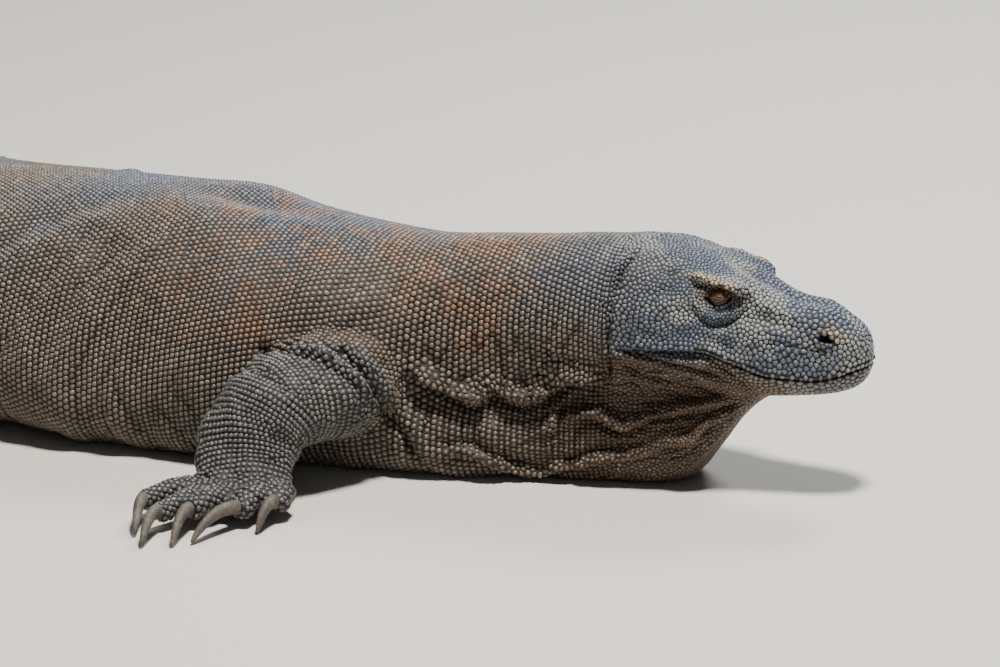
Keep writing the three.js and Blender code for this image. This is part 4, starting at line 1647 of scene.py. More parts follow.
class Coat:
    """Rows of scales over the whole skin, in a few long pieces."""

    PATCH = 0.003  # size of a scale on the unwrap
    LOWEST = 0.15  # how near the floor a scale comes
    NEIGHBOURS = 10
    REACHES = 0.4, 1.3  # least and most reach, as shares of a scale's own size
    STRAY = 0.32  # how far scales stand out of line
    TRIES = 260000  # places tried when bare skin is filled
    # distance behind the snout, between rows and between the scales of a row
    PITCHES = (
        (222, 4.4, 4.6), (300, 5.2, 5.3), (425, 5.4, 5.6), (560, 5.0, 5.2),
        (1200, 5.4, 5.2), (1500, 7.0, 5.2), (2000, 7.6, 5.0), (2610, 6, 3.6),
    )
    HEAD_PITCH = ((0, 4.3), (30, 4.9), (80, 4.6), (110, 3.8), (150, 3.5), (230, 4.3))
    LIMB_PITCH, DIGIT_PITCH, DIGIT_BREADTH = 4.9, 4.0, 1.7
    LIP_PITCH = 4.4
    LIP_ROWS = ((2.9, 0.0), (7.2, 0.5), (-2.9, 0.25), (-6.8, 0.75))  # height over the mouth and start
    LEVELS = {"belly": 0.16, "flank_low": 0.5, "flank_high": 0.86, "back": math.inf}  # shares of the height

    def __init__(self, plain: Surface, surface: Surface) -> None:
        """Args:
            plain: the skin before it is shaped.
            surface: the skin.
        """
        self.plain = plain
        self.surface = surface
        self.random = np.random.default_rng(7)

    @staticmethod
    def tree(points: Array) -> KDTree:
        """A tree for finding the nearest of many points.

        Args:
            points: one row for each.

        Returns:
            The tree, which numbers them in order.
        """
        tree = KDTree(len(points))
        for i, p in enumerate(points):
            tree.insert(p, i)
        tree.balance()
        return tree

    def cells(self, roots: Roots, index: Array, shape: ScaleShape) -> Array:
        """How far some scales reach towards each corner before they meet their neighbours.

        Args:
            roots: all scales.
            index: the scales asked for.
            shape: their form.

        Returns:
            A distance for each corner, one row for each scale.
        """
        found = [self.near.find_n(p, self.NEIGHBOURS) for p in roots.point[index]]
        near = np.array([[hit[1] for hit in hits][1:] for hits in found])
        mine = roots.take(index)
        along, across = mine.axes()
        away = roots.point[near] - mine.point[:, None]
        x, y = (away * along[:, None]).sum(-1), (away * across[:, None]).sum(-1)
        facing = (roots.normal[near] * mine.normal[:, None]).sum(-1) > 0.3
        turns = shape.turns()
        toward = x[..., None] * turns[:, 0] + y[..., None] * turns[:, 1]
        half = (x * x + y * y)[..., None] / 2
        reach = np.where((toward > 0.1) & facing[..., None], half / np.maximum(toward, 0.1), 99).min(1)
        usual = 1 / np.sqrt((turns[:, 0] / mine.long[:, None]) ** 2 + (turns[:, 1] / mine.wide[:, None]) ** 2)
        least, most = self.REACHES
        return np.clip(reach, usual * least, usual * most)

    def settle(self, roots: Roots, most: float) -> Roots:
        """Sets roots down on the skin, and leaves out those that lie further from it than most.

        Args:
            roots: places on the forms that the skin was joined from.
            most: the distance in millimetres.

        Returns:
            The roots that are kept, on the shaped skin.
        """
        along, across = roots.axes()
        stray = self.random.uniform(-self.STRAY, self.STRAY, (2, len(roots), 1))
        points = roots.point + along * stray[0] + across * stray[1]
        places, normals, before, gaps = self.plain.carry(points, self.surface)
        keep = (gaps < most) & ((before * roots.normal).sum(1) > 0.1)
        found = roots.take(keep)
        found.point, found.normal = places[keep], normals[keep]
        return found

    def body(self) -> Roots:
        """Rows across the neck, the trunk and the tail.

        Returns:
            Roots on the plain forms.
        """
        parts = []
        places, row_pitches, pitches = zip(*self.PITCHES)
        row_pitch, pitch = Curve(places, row_pitches), Curve(places, pitches)
        rows = [224.0]
        while rows[-1] < 2600:
            rows.append(rows[-1] + float(row_pitch(rows[-1])))
        at = np.array(rows)
        out, height = TRUNK.rings(at, 360)
        for k, (s, x, z) in enumerate(zip(at, out, height)):
            # from the middle of the back down the left side, and mirrored
            x, z = np.roll(x, -90)[:181], np.roll(z, -90)[:181]
            run = np.concatenate([[0], np.cumsum(np.hypot(np.diff(x), np.diff(z)))])
            under = smoothstep(14, 4, z)
            throat = smoothstep(440, 300, s) * smoothstep(105, 85, z)
            step = float(pitch(s)) * (1 + 0.55 * under) * (1 - 0.22 * throat)
            count = np.concatenate([[0], np.cumsum(np.diff(run) / ((step[1:] + step[:-1]) / 2))])
            wanted = np.arange(0.5 * (k % 2), count[-1] - 0.2, 1.0)
            share = np.interp(wanted, count, run)
            for side in (1, -1):
                mine = share if side > 0 or k % 2 else share[1:]
                px, pz = np.interp(mine, run, x) * side, np.interp(mine, run, z)
                size = np.interp(mine, run, step)
                ahead = np.append(SPINE.forward(np.array(s)), 0.0)
                core = float(TRUNK.core(np.array([s]))[0])
                normal = unit(px[:, None] * SPINE.leftward(np.array(s)) + (pz - core)[:, None] * UP_AXIS)
                n = len(mine)
                turn = side * mine / run[-1] / 2
                parts.append(
                    Roots(
                        SPINE.place(np.full(n, s), px, pz), normal, np.repeat(-ahead[None], n, 0),
                        np.full(n, float(row_pitch(s)) * 0.56), size * 0.5, np.clip(size * 0.33, 0.9, 1.75),
                        np.stack([np.full(n, s / LENGTH), 0.5 + turn], 1),
                    )
                )
        return Roots.join(parts)

    def tube(
        self, tube: Tube, pitch: float, cell: tuple[float, float, float, float], breadth: float = 1.0
    ) -> Roots:
        """Rows round a limb or a digit.

        Args:
            tube: the form.
            pitch: the distance between rows and between scales.
            cell: where the tube's unwrap lies: first and last, lowest and highest share.
            breadth: how much wider the scales are than the distance between rows.

        Returns:
            Roots on the plain form.
        """
        run = run_along(tube.centres)
        rows = np.arange(pitch * 0.3, run[-1], pitch)
        place = np.interp(rows, run, np.arange(len(run)))
        fine = np.linspace(0, 2 * np.pi, 181)
        parts = []
        for k, p in enumerate(place):
            i = min(int(p), len(run) - 2)
            ring = tube.ring(i, fine) * (1 - p + i) + tube.ring(i + 1, fine) * (p - i)
            centre = tube.centres[i] * (1 - p + i) + tube.centres[i + 1] * (p - i)
            arc = run_along(ring)
            count = max(5, round(arc[-1] / pitch / breadth))
            share = (np.arange(count) + 0.5 * (k % 2)) / count * arc[-1]
            points = np.stack([np.interp(share, arc, ring[:, c]) for c in range(3)], 1)
            n = len(points)
            u = cell[0] + (cell[1] - cell[0]) * rows[k] / run[-1]
            v = cell[2] + (cell[3] - cell[2]) * share / arc[-1]
            parts.append(
                Roots(
                    points, unit(points - centre), np.repeat(tube.ahead[i][None], n, 0),
                    np.full(n, pitch * 0.58), np.full(n, arc[-1] / count * 0.5), np.full(n, pitch * 0.31),
                    np.stack([np.full(n, u), v], 1),
                )
            )
        return Roots.join(parts)

    def limb(self, limb: Limb) -> Roots:
        """Rows over a whole limb.

        Args:
            limb: the limb.

        Returns:
            Roots on the shaped skin.
        """
        upper, lower = (Tube(chain, 40) for chain in limb.chains())
        parts = [
            self.tube(lower, self.LIMB_PITCH, (0.34, 0.66, 0, 1)),
            self.tube(upper, self.LIMB_PITCH, (0.0, 0.33, 0, 1)),
        ]
        for i in range(len(limb.plan.digits)):
            cell = 0.68, 1.0, i / 5 + 0.01, (i + 1) / 5 - 0.01
            parts.insert(0, self.tube(Tube(limb.digit(i), 24), self.DIGIT_PITCH, cell, self.DIGIT_BREADTH))
        return self.thin(Roots.join([self.settle(p, 5.0) for p in parts]), 0.62)

    @staticmethod
    def thin(roots: Roots, share: float, others: Roots | None = None) -> Roots:
        """Leaves out roots that lie too close to one before them.

        Args:
            roots: scales, the most wanted first.
            share: the least distance as a share of a scale's size.
            others: scales that are kept already.

        Returns:
            The roots that are kept.
        """
        known = len(others) if others is not None else 0
        points = np.concatenate([others.point, roots.point]) if others is not None else roots.point
        tree = Coat.tree(points)
        kept = np.ones(len(points), bool)
        size = (roots.long + roots.wide) * share
        for i in range(len(roots)):
            for _, j, _ in tree.find_range(points[known + i], float(size[i])):
                if j < known + i and kept[j]:
                    kept[known + i] = False
                    break
        return roots.take(kept[known:])

    def head_size(self, at: Array, left: Array, height: Array) -> tuple[Array, Array]:
        """The spacing of scales on the head, and how much longer than wide they are.

        Args:
            at, left, height: body measures of the points.

        Returns:
            Two values for each point.
        """
        out, over_mouth = np.abs(left), height - mouth_height(at)
        spacing = np.interp(at, *zip(*self.HEAD_PITCH))
        lip = np.exp(-((over_mouth / 9) ** 2)) * (at < 150)
        spacing = spacing + lip * 0.5
        round_eye = np.exp(-(((at - EYE.at) / 17) ** 2) - (((height - EYE.z + 3) / 15) ** 2)) * (out > 28)
        spacing = spacing - round_eye * 1.4
        cheek = np.exp(-(((at - 185) / 32) ** 2) - (((height - 158) / 20) ** 2)) * (out > 30)
        under = smoothstep(4, -10, over_mouth)
        spacing = spacing - cheek * 0.9 - under * 0.5
        return spacing, 1 + cheek * 0.95 + under * 0.2

    def scatter(self, corners: Array, share: Array, count: int) -> Array:
        """Random places on triangles.

        Args:
            corners: the corners of each triangle.
            share: how many places it is due, beside the others.
            count: how many places there are in all.

        Returns:
            One row x, y, z for each place.
        """
        chosen = self.random.choice(len(corners), count, p=share / share.sum())
        u, v = self.random.random((2, count, 1))
        flip = u + v > 1
        u, v = np.where(flip, 1 - u, u), np.where(flip, 1 - v, v)
        tri = corners[chosen]
        return tri[:, 0] + u * (tri[:, 1] - tri[:, 0]) + v * (tri[:, 2] - tri[:, 0])

    def head(self) -> Roots:
        """Scales scattered evenly over the head, and settled against one another.

        Returns:
            Roots on the shaped skin.
        """
        surface = self.surface
        at, left, height = SPINE.locate(surface.corners.mean(1))
        near = np.nonzero(at < 228)[0]
        corners = surface.corners[near]
        spacing, _ = self.head_size(at[near], left[near], height[near])
        share = areas(corners) / spacing**2
        expected = int(share.sum() * 1.155)
        points = self.scatter(corners, share, expected * 7)
        where = SPINE.locate(points)
        points = np.concatenate([self.labials(), points[~self.bare(*where)]])
        size, stretch = self.head_size(*SPINE.locate(points))
        ahead = SPINE.forward(np.full(1, 110.0))[0]
        metric = np.array([ahead[0], ahead[1], 0.0])
        points = self._darts(points, size, stretch, metric)
        for _ in range(5):
            points = self._spread(points, metric)
            points, _, _ = surface.nearest(points)
        places, normals, _ = surface.nearest(points)
        where = SPINE.locate(places)
        size, stretch = self.head_size(*where)
        keep = ~self.bare(*where) & (where[0] < 226)
        n = int(keep.sum())
        jitter = 1 + self.random.uniform(-0.1, 0.1, n)
        half = size[keep] * 0.5 * jitter
        turn = np.arctan2(where[2] - TRUNK.core(where[0]), where[1]) / (2 * np.pi) % 1.0
        return Roots(
            places[keep], normals[keep], np.repeat(-metric[None], n, 0),
            half * stretch[keep] * 1.1, half * 1.1, np.clip(half * 0.45, 0.45, 0.95),
            np.stack([where[0] / 232, turn], 1)[keep],
        )

    @staticmethod
    def bare(at: Array, left: Array, height: Array) -> Array:
        """Where no scale grows: between the lids, in the nostrils and in the line of the mouth.

        Args:
            at, left, height: body measures of the points.

        Returns:
            Whether each is bare.
        """
        out = np.abs(left)
        eye = EYE.bare(at, height) & (out > 30)
        nostril = (NOSTRIL.ring(at, height) < 0.9) & (out > 14) & (at < 60)
        mouth = (np.abs(height - mouth_height(at)) < 0.9) & (at < MOUTH[-1][0])
        return eye | nostril | mouth

    def labials(self) -> Array:
        """The even rows of scales along the upper and the lower lip.

        Returns:
            Places on the shaped skin.
        """
        rows = []
        for side in Side:
            line = Fold(MOUTH, ()).line(side)
            run = run_along(line)
            for above, shift in self.LIP_ROWS:
                share = np.arange(shift, run[-1] / self.LIP_PITCH) * self.LIP_PITCH
                row = np.stack([np.interp(share, run, line[:, c]) for c in range(3)], 1)
                row[:, 2] += above
                rows.append(row[: int(len(share) * (0.95 if above > 0 else 0.7))])
        points, _, _ = self.surface.nearest(np.concatenate(rows))
        return points

    def fill(self, known: Roots) -> tuple[Roots, Array]:
        """Scales for the bare places that rows leave in folds and where limbs begin.

        Args:
            known: the scales that stand already.

        Returns:
            The new scales, and for each the known scale that it resembles.
        """
        corners = self.surface.corners
        share = areas(corners) * np.where(SPINE.locate(corners.mean(1))[0] < HEAD_END, 4.0, 1.0)
        points = self.scatter(corners, share, self.TRIES)
        tree = self.tree(known.point)
        found = [tree.find(p) for p in points]
        owner, gaps = np.array([f[1] for f in found]), np.array([f[2] for f in found])
        size = known.long + known.wide
        where = SPINE.locate(points)
        free = (gaps > 0.7 * size[owner]) & ~((where[0] < 215) & self.bare(*where)) & (points[:, 2] > 2.0)
        points, size = points[free], size[owner[free]]
        points = self._darts(points, size * 0.92, np.ones(len(points)), UP_AXIS)
        found = [tree.find(p) for p in points]
        owner = np.array([f[1] for f in found])
        places, normals, _ = self.surface.nearest(points)
        roots = known.take(owner)
        roots.patch = roots.patch + (self.random.random((len(owner), 2)) - 0.5) * self.PATCH
        roots.point, roots.normal = places, normals
        mean = (roots.long + roots.wide) / 2
        roots.long, roots.wide = mean, mean.copy()
        log.info("fill: %d scales", len(roots))
        return roots, owner

    @staticmethod
    def _darts(points: Array, size: Array, stretch: Array, metric: Array) -> Array:
        """Keeps points in order while they lie no closer than their size to one that is kept.

        Args:
            points: the places, the most wanted first.
            size: the size of each.
            stretch: how much longer than wide it is.
            metric: the direction of its length.

        Returns:
            The places that are kept.
        """
        cell = 6.0
        beside = tuple(product((-1, 0, 1), repeat=3))
        grid: dict[tuple[int, int, int], list[tuple[float, float, float]]] = {}
        kept = []
        mx, my = float(metric[0]), float(metric[1])

        def clear(x: float, y: float, z: float, need: float, long: float) -> bool:
            """Whether a point may be kept.

            Args:
                x, y, z: the point.
                need: the least distance to one that is kept.
                long: how much longer than wide its scale is.

            Returns:
                True if no kept point lies too close.
            """
            i, j, k = int(x // cell), int(y // cell), int(z // cell)
            for a, b, c in beside:
                for p, q, r in grid.get((i + a, j + b, k + c), ()):
                    dx, dy, dz = x - p, y - q, z - r
                    along = dx * mx + dy * my
                    if dx * dx + dy * dy + dz * dz - along * along * (1 - 1 / long**2) < need * need:
                        return False
            return True

        for (x, y, z), need, long in zip(points.tolist(), (size * 0.86).tolist(), stretch.tolist()):
            if clear(x, y, z, need, long):
                kept.append((x, y, z))
                place = int(x // cell), int(y // cell), int(z // cell)
                grid.setdefault(place, []).append((x, y, z))
        return np.array(kept)

    def _spread(self, points: Array, metric: Array) -> Array:
        """Moves each point a little away from its nearest neighbours.

        Args:
            points: the places.
            metric: the direction in which scales are long.

        Returns:
            The new places.
        """
        tree = self.tree(points)
        near = np.array([[j for _, j, _ in tree.find_n(p, 7)][1:] for p in points])
        size, stretch = self.head_size(*SPINE.locate(points))
        away = points[:, None] - points[near]
        along = (away * metric).sum(-1)
        gaps = np.sqrt(np.maximum((away**2).sum(-1) - along**2 * (1 - 1 / stretch[:, None] ** 2), 1e-6))
        push = np.clip(1 - gaps / (size[:, None] * 1.1), 0, 1)
        return points + (away / gaps[..., None] * push[..., None]).sum(1) * size[:, None] * 0.45

    @staticmethod
    def mesh_of(name: str, points: Array, indices: Array) -> bpy.types.Mesh:
        """A mesh of triangles.

        Args:
            name: the mesh's name.
            points: its vertices in millimetres.
            indices: the vertices of its triangles, one after another.

        Returns:
            The mesh.
        """
        mesh = bpy.data.meshes.new(name)
        mesh.vertices.add(len(points))
        mesh.vertices.foreach_set("co", (points * MM).astype(np.float32).ravel())
        mesh.loops.add(len(indices))
        mesh.loops.foreach_set("vertex_index", indices.astype(np.int32))
        mesh.polygons.add(len(indices) // 3)
        mesh.polygons.foreach_set("loop_start", np.arange(0, len(indices), 3, dtype=np.int32))
        mesh.update(calc_edges=True)
        mesh.validate()
        return mesh

    def piece(
        self, name: str, index: Array, shape: ScaleShape, material: bpy.types.Material, slot: str
    ) -> None:
        """Joins scales into one mesh from arrays, with their patches and masks.

        Args:
            name: the piece's name.
            index: which of all scales it holds.
            shape: the form of each.
            material: their finish.
            slot: not used.
        """
        roots = self.roots.take(index)
        faces, count = shape.faces(), len(roots)
        reach = self.cells(self.roots, index, shape)
        along, across = roots.axes()
        local = shape.points(reach, roots.long, roots.tall)
        corners = local.shape[1]
        frames = np.stack([along, across, roots.normal], 1)
        points = roots.point[:, None] + sum(local[..., k : k + 1] * frames[:, k][:, None] for k in range(3))
        points[..., 2] = np.maximum(points[..., 2], self.LOWEST)
        indices = (faces[None] + np.arange(count)[:, None, None] * corners).reshape(-1)
        mesh = self.mesh_of(name, points.reshape(-1, 3), indices)
        plan = local[..., :2] / np.maximum(roots.long, roots.wide)[:, None, None] * (self.PATCH / 2)
        spread = (roots.patch[:, None] + plan).reshape(-1, 2)
        unwrap = mesh.uv_layers.new(name="OFBake")
        unwrap.data.foreach_set("uv", np.clip(spread, 0, 1)[indices].astype(np.float32).ravel())
        mesh.materials.append(material)
        mesh.shade_smooth()
        for zone, values in zones(*SPINE.locate(roots.point)).items():
            add_attribute(mesh, zone, np.repeat(values, corners))
        add_attribute(mesh, Zone.TINT, np.repeat(self.random.random(count), corners))
        # lift drives the painted shade at each scale's edge and the painted highlight on its crown
        add_attribute(mesh, Zone.LIFT, np.tile(shape.lift(), count))
        obj = linked(name, mesh)
        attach(obj, "root")
        log.info("%s: %d scales, %d triangles", name, count, len(indices) // 3)

    def build(self, material: bpy.types.Material) -> None:
        """Grows the whole coat.

        Args:
            material: its finish.
        """
        head = self.head()
        limbs = [self.limb(limb) for limb in LIMBS]
        legs = Roots.join(limbs)
        body = self.settle(self.body(), 11.0)
        body = self.thin(body, 0.5, Roots.join([head, legs]))
        jitter = 1 + self.random.uniform(-0.07, 0.07, (2, len(body)))
        body.long, body.wide = body.long * jitter[0], body.wide * jitter[1]
        parts = [head, *limbs, body]
        owner = np.repeat(np.arange(len(parts)), [len(p) for p in parts])
        known = Roots.join(parts)
        extra, like = self.fill(known)
        self.roots = roots = Roots.join([known, extra])
        owner = np.concatenate([owner, owner[like]])
        self.near = self.tree(roots.point)
        at, left, height = SPINE.locate(roots.point)
        on_body = owner == len(parts) - 1
        throat = (zones(at, left, height)[Zone.THROAT] > 0.3) & on_body
        level = np.digitize(height / TRUNK.body["top"](at), tuple(self.LEVELS.values()))
        pieces: dict[str, tuple[Array, ScaleShape, str]] = {}
        plate, fine = ScaleShape(), ScaleShape(sides=8, shoulder=0.8, shoulder_height=0.7, lean=0.08)
        pieces["throat"] = throat, plate, "throat_hide"
        for sign, flag in (("right", left < 0), ("left", left >= 0)):
            pieces[f"head_{sign}"] = (owner == 0) & flag, fine, "head_hide"
            for k, name in enumerate(self.LEVELS):
                pieces[f"{name}_{sign}"] = (level == k) & flag & ~throat & on_body, plate, "hide"
        for i, limb in enumerate(LIMBS):
            pieces[limb.name] = owner == i + 1, plate, "hide"
        for name, (chosen, shape, slot) in pieces.items():
            self.piece(f"scales_{name}", np.nonzero(chosen)[0], shape, material, slot)


# -------------------- eyes and claws
@dataclass(frozen=True)
class Eyeball:
    """An eyeball with a cornea that stands out a little.

    Attributes:
        side: the side that it is on.
        radius: of the ball.
        bulge: how far the cornea stands out.
        cornea: between which cosines from the gaze the cornea rises.
    """

    side: Side
    radius: float = EYE.radius - 0.3
    bulge: float = 0.5
    cornea: tuple[float, float] = (0.72, 0.98)

    def build(self, material: bpy.types.Material) -> None:
        """The ball in its socket.

        Args:
            material: its finish.
        """
        bm = bmesh.new()
        bmesh.ops.create_uvsphere(bm, u_segments=48, v_segments=32, radius=1.0)
        centre = SPINE.place(EYE.at, self.side.value * EYE.out, EYE.z)
        gaze = Vector(SPINE.leftward(np.array(EYE.at)) * self.side.value).normalized()
        for vert in bm.verts:
            rise = float(smoothstep(*self.cornea, np.array(vert.co.dot(gaze))))
            vert.co = (Vector(centre) + vert.co * (self.radius + self.bulge * rise)) * MM
        name = self.side.name.lower()
        obj = object_of(f"eyeball_{name}", bm)
        obj.data.materials.append(material)
        obj.data.shade_smooth()
        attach(obj, "root")
        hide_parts(f"eye_{name}")
        log.info("eyeball: %s", name)


@dataclass(frozen=True)
class ClawForm:
    """A claw's curve.

    Attributes:
        stations: the share of its length, the height over the floor and the half width and thickness.
        pinch: how deep the groove along its underside is, as a share of its thickness.
    """

    stations: tuple = (
        (-0.12, 17.5, 5.6, 6.2), (0.0, 19, 5.8, 7.0), (0.2, 21.3, 5.6, 6.8), (0.42, 21.6, 5.1, 6.0),
        (0.62, 18.4, 4.5, 5.1), (0.8, 12.6, 3.6, 4.1), (0.93, 6.3, 2.4, 2.9), (0.985, 2.6, 1.2, 1.8),
    )
    pinch: float = 0.22

    SIDES = 20
    UNDERSIDE = 1.5 * math.pi
    LOWEST = 0.1

    def claw(self, limb: Limb, digit: Digit) -> bmesh.types.BMesh:
        """One claw.

        Args:
            limb: the limb that it is on.
            digit: its digit.

        Returns:
            The closed shape.
        """
        root, end = limb.place(*digit.tip), limb.place(*digit.point)
        stations = []
        for share, height, wide, tall in self.stations:
            point = root + (end - root) * share
            point[2] = height
            stations.append(Station(point, wide, tall))
        tube = Tube(stations, 28)
        middle = tube.centres[:, None]
        groove = np.exp(-(((round_angles(self.SIDES) - self.UNDERSIDE) / 0.5) ** 2))
        rings = middle + (tube.points(self.SIDES) - middle) * (1 - self.pinch * groove)[None, :, None]
        rings[..., 2] = np.maximum(rings[..., 2], self.LOWEST)
        return loft(rings, tube.centres[0], tube.centres[-1])

    def build(self, limb: Limb, material: bpy.types.Material) -> None:
        """The five claws of a limb as one piece.

        Args:
            limb: the limb.
            material: their finish.
        """
        claws = joined(self.claw(limb, digit) for digit in limb.plan.digits)
        obj = object_of(f"claws_{limb.name}", claws)
        obj.data.materials.append(material)
        obj.data.shade_smooth()
        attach(obj, "root")
        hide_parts(*(f"{limb.name}_claw_{i + 1}" for i in range(len(limb.plan.digits))))
        log.info("claws of %s: %d", limb.name, len(limb.plan.digits))


# -------------------- materials
Socket = bpy.types.NodeSocket
Colour = tuple[float, float, float]


class Graph:
    """Adds nodes to a tree and joins them."""

    def __init__(self, tree: bpy.types.NodeTree) -> None:
        """Keeps the tree."""
        self.tree = tree

    def add(self, kind: str, inputs: dict | None = None, **settings: object) -> bpy.types.Node:
        """A new node.

        Args:
            kind: its type.
            inputs: a value or a socket for inputs, by name or place.
            settings: its other properties.

        Returns:
            The node.
        """
        node = self.tree.nodes.new(kind)
        for name, value in settings.items():
            setattr(node, name, value)
        self.set(node, inputs or {})
        return node

    def set(self, node: bpy.types.Node, inputs: dict) -> None:
        """Gives a node's inputs, by name or place, a value or a socket.

        Args:
            node: the node.
            inputs: what each gets.
        """
        for name, value in inputs.items():
            if isinstance(value, bpy.types.NodeSocket):
                self.tree.links.new(value, node.inputs[name])
            else:
                node.inputs[name].default_value = (*value, 1.0) if isinstance(value, tuple) else value

    def mask(self, zone: Zone) -> Socket:
        """A mask that the mesh carries."""
        return self.add("ShaderNodeAttribute", attribute_name=zone.value).outputs["Fac"]

    def maths(self, kind: str, *values: Socket | float) -> Socket:
        """The result of a sum on values."""
        return self.add("ShaderNodeMath", dict(enumerate(values)), operation=kind).outputs[0]

    def mix(self, share: Socket, a: Socket | Colour, b: Socket | Colour) -> Socket:
        """A mix of two colours."""
        return self.add("ShaderNodeMix", {0: share, 6: a, 7: b}, data_type="RGBA").outputs[2]

    def noise(self, where: Socket, size: float, detail: float = 3.0, rough: float = 0.55) -> Socket:
        """Soft noise with blotches of a size in millimetres."""
        inputs = {"Vector": where, "Scale": 1 / (size * MM), "Detail": detail, "Roughness": rough}
        return self.add("ShaderNodeTexNoise", inputs).outputs["Fac"]

    def step(self, value: Socket, low: float, high: float) -> Socket:
        """A value taken smoothly from 0 at low to 1 at high."""
        node = self.add("ShaderNodeMapRange", {0: value, 1: low, 2: high}, interpolation_type="SMOOTHSTEP")
        return node.outputs[0]


def new_group(name: str, outputs: dict[str, str]) -> tuple[Graph, bpy.types.Node]:
    """A new shader node group without inputs.

    Args:
        name: the group's name.
        outputs: each output's name and kind.

    Returns:
        Its graph and its output node.
    """
    tree = bpy.data.node_groups.new(name, "ShaderNodeTree")
    for key, kind in outputs.items():
        tree.interface.new_socket(name=key, in_out="OUTPUT", socket_type=kind)
    return Graph(tree), tree.nodes.new("NodeGroupOutput")


def new_material(name: str) -> tuple[bpy.types.Material, Graph, bpy.types.Node]:
    """A new material.

    Args:
        name: the material's name.

    Returns:
        The material, its graph and its shader.
    """
    material = bpy.data.materials.new(name)
    material.use_nodes = True
    return material, Graph(material.node_tree), material.node_tree.nodes["Principled BSDF"]


@dataclass(frozen=True)
class HideColours:
    """The colours of the hide and of the painted sheen, highlight and shade on it, as linear shares of red,
    green and blue.
    """

    grey: Colour = (0.118, 0.092, 0.070)
    # a painted bluish-grey sheen for the top of the back
    slate_sheen: Colour = (0.080, 0.096, 0.128)
    rust: Colour = (0.195, 0.092, 0.048)
    # the tone of the few pale scales, and also the painted highlight on the crowns of scales
    pale: Colour = (0.36, 0.325, 0.285)
    head: Colour = (0.066, 0.092, 0.138)
    head_pale: Colour = (0.31, 0.325, 0.29)
    # the throat's brown-orange, darker in part as painted shade under the head
    throat: Colour = (0.100, 0.058, 0.030)
    limb: Colour = (0.084, 0.084, 0.082)
    brow: Colour = (0.33, 0.255, 0.16)
    lid: Colour = (0.135, 0.062, 0.018)
    # near-black: painted shade at the edges of the scales and on the bare skin between them, over a darker
    # real skin; also the tone of the few dark scales
    gap: Colour = (0.011, 0.009, 0.007)


def markings_and_painted_light_group(colours: HideColours) -> bpy.types.NodeTree:
    """The pattern and painted light that skin and scales share, from the masks that both carry.

    Args:
        colours: the colours of the hide.

    Returns:
        The group, which puts out the colour and the height of the fine grain.
    """
    graph, end = new_group("dragon_markings_and_painted_light", {"Color": "NodeSocketColor", "Height": "NodeSocketFloat"})
    where = graph.add("ShaderNodeTexCoord").outputs["Object"]
    tint, lift = graph.mask(Zone.TINT), graph.mask(Zone.LIFT)
    broad, blotch, fleck = graph.noise(where, 160), graph.noise(where, 42), graph.noise(where, 9)
    # painted sheen: a bluish-grey sheen over the top of the back, in broad patches
    slate_sheen = graph.maths("MULTIPLY", graph.mask(Zone.BACK), graph.step(broad, 0.35, 0.62))
    colour = graph.mix(slate_sheen, colours.grey, colours.slate_sheen)
    speckled = graph.maths("ADD", blotch, graph.maths("MULTIPLY_ADD", tint, 0.16, -0.08))
    rust = graph.maths("MULTIPLY", graph.step(speckled, 0.44, 0.66), graph.mask(Zone.RUST))
    colour = graph.mix(graph.maths("MULTIPLY", rust, 0.75), colour, colours.rust)
    colour = graph.mix(graph.mask(Zone.LIMB), colour, colours.limb)
    # the throat's brown-orange, darkened in part as painted shade under the head
    colour = graph.mix(graph.mask(Zone.THROAT), colour, colours.throat)
    colour = graph.mix(graph.mask(Zone.HEAD), colour, colours.head)
    patches = graph.maths("MULTIPLY", graph.step(blotch, 0.46, 0.64), graph.mask(Zone.HEAD))
    colour = graph.mix(graph.maths("MULTIPLY", patches, 0.68), colour, colours.head_pale)
    colour = graph.mix(graph.mask(Zone.BROW), colour, colours.brow)
    colour = graph.mix(graph.mask(Zone.LID), colour, colours.lid)
    # each scale differs a little, and a few are pale or dark
    pale = graph.maths("MULTIPLY", graph.step(tint, 0.55, 1.0), graph.step(fleck, 0.4, 0.62))
    colour = graph.mix(graph.maths("MULTIPLY", pale, 0.34), colour, colours.pale)
    dark = graph.step(tint, 0.28, 0.0)
    colour = graph.mix(graph.maths("MULTIPLY", dark, 0.4), colour, colours.gap)
    # painted shade: the edge of each scale and the bare skin, whose lift is 0, fade to the near-black gap
    # colour, over a darker real skin
    colour = graph.mix(graph.step(lift, 0.05, 0.75), colours.gap, colour)
    # painted highlight: the crown of each scale is lightened towards the pale colour
    crown = graph.step(lift, 0.72, 1.0)
    colour = graph.mix(graph.maths("MULTIPLY", crown, 0.12), colour, colours.pale)
    graph.set(end, {"Color": colour, "Height": graph.noise(where, 1.6, 4.0)})
    return graph.tree


@dataclass(frozen=True)
class HideFinish:
    """The dry, faintly glossy finish of the hide.

    Attributes:
        name: the material's name.
        rough: its mean roughness.
        bump: how deep its fine grain is.
    """

    name: str
    rough: float
    bump: float

    def material(self, markings_and_painted_light: bpy.types.NodeTree) -> bpy.types.Material:
        """The finish as a material.

        Args:
            markings_and_painted_light: the group of the hide's pattern and painted light.

        Returns:
            The material.
        """
        material, graph, shader = new_material(self.name)
        group = graph.add("ShaderNodeGroup", node_tree=markings_and_painted_light)
        grain = group.outputs["Height"]
        rough = graph.maths("MULTIPLY_ADD", grain, 0.24, self.rough - 0.12)
        bump = graph.add("ShaderNodeBump", {"Height": grain, "Strength": self.bump, "Distance": 0.0006})
        graph.set(shader, {
            "Base Color": group.outputs["Color"], "Roughness": rough, "Normal": bump.outputs["Normal"],
            "Specular IOR Level": 0.4,
        })
        return material


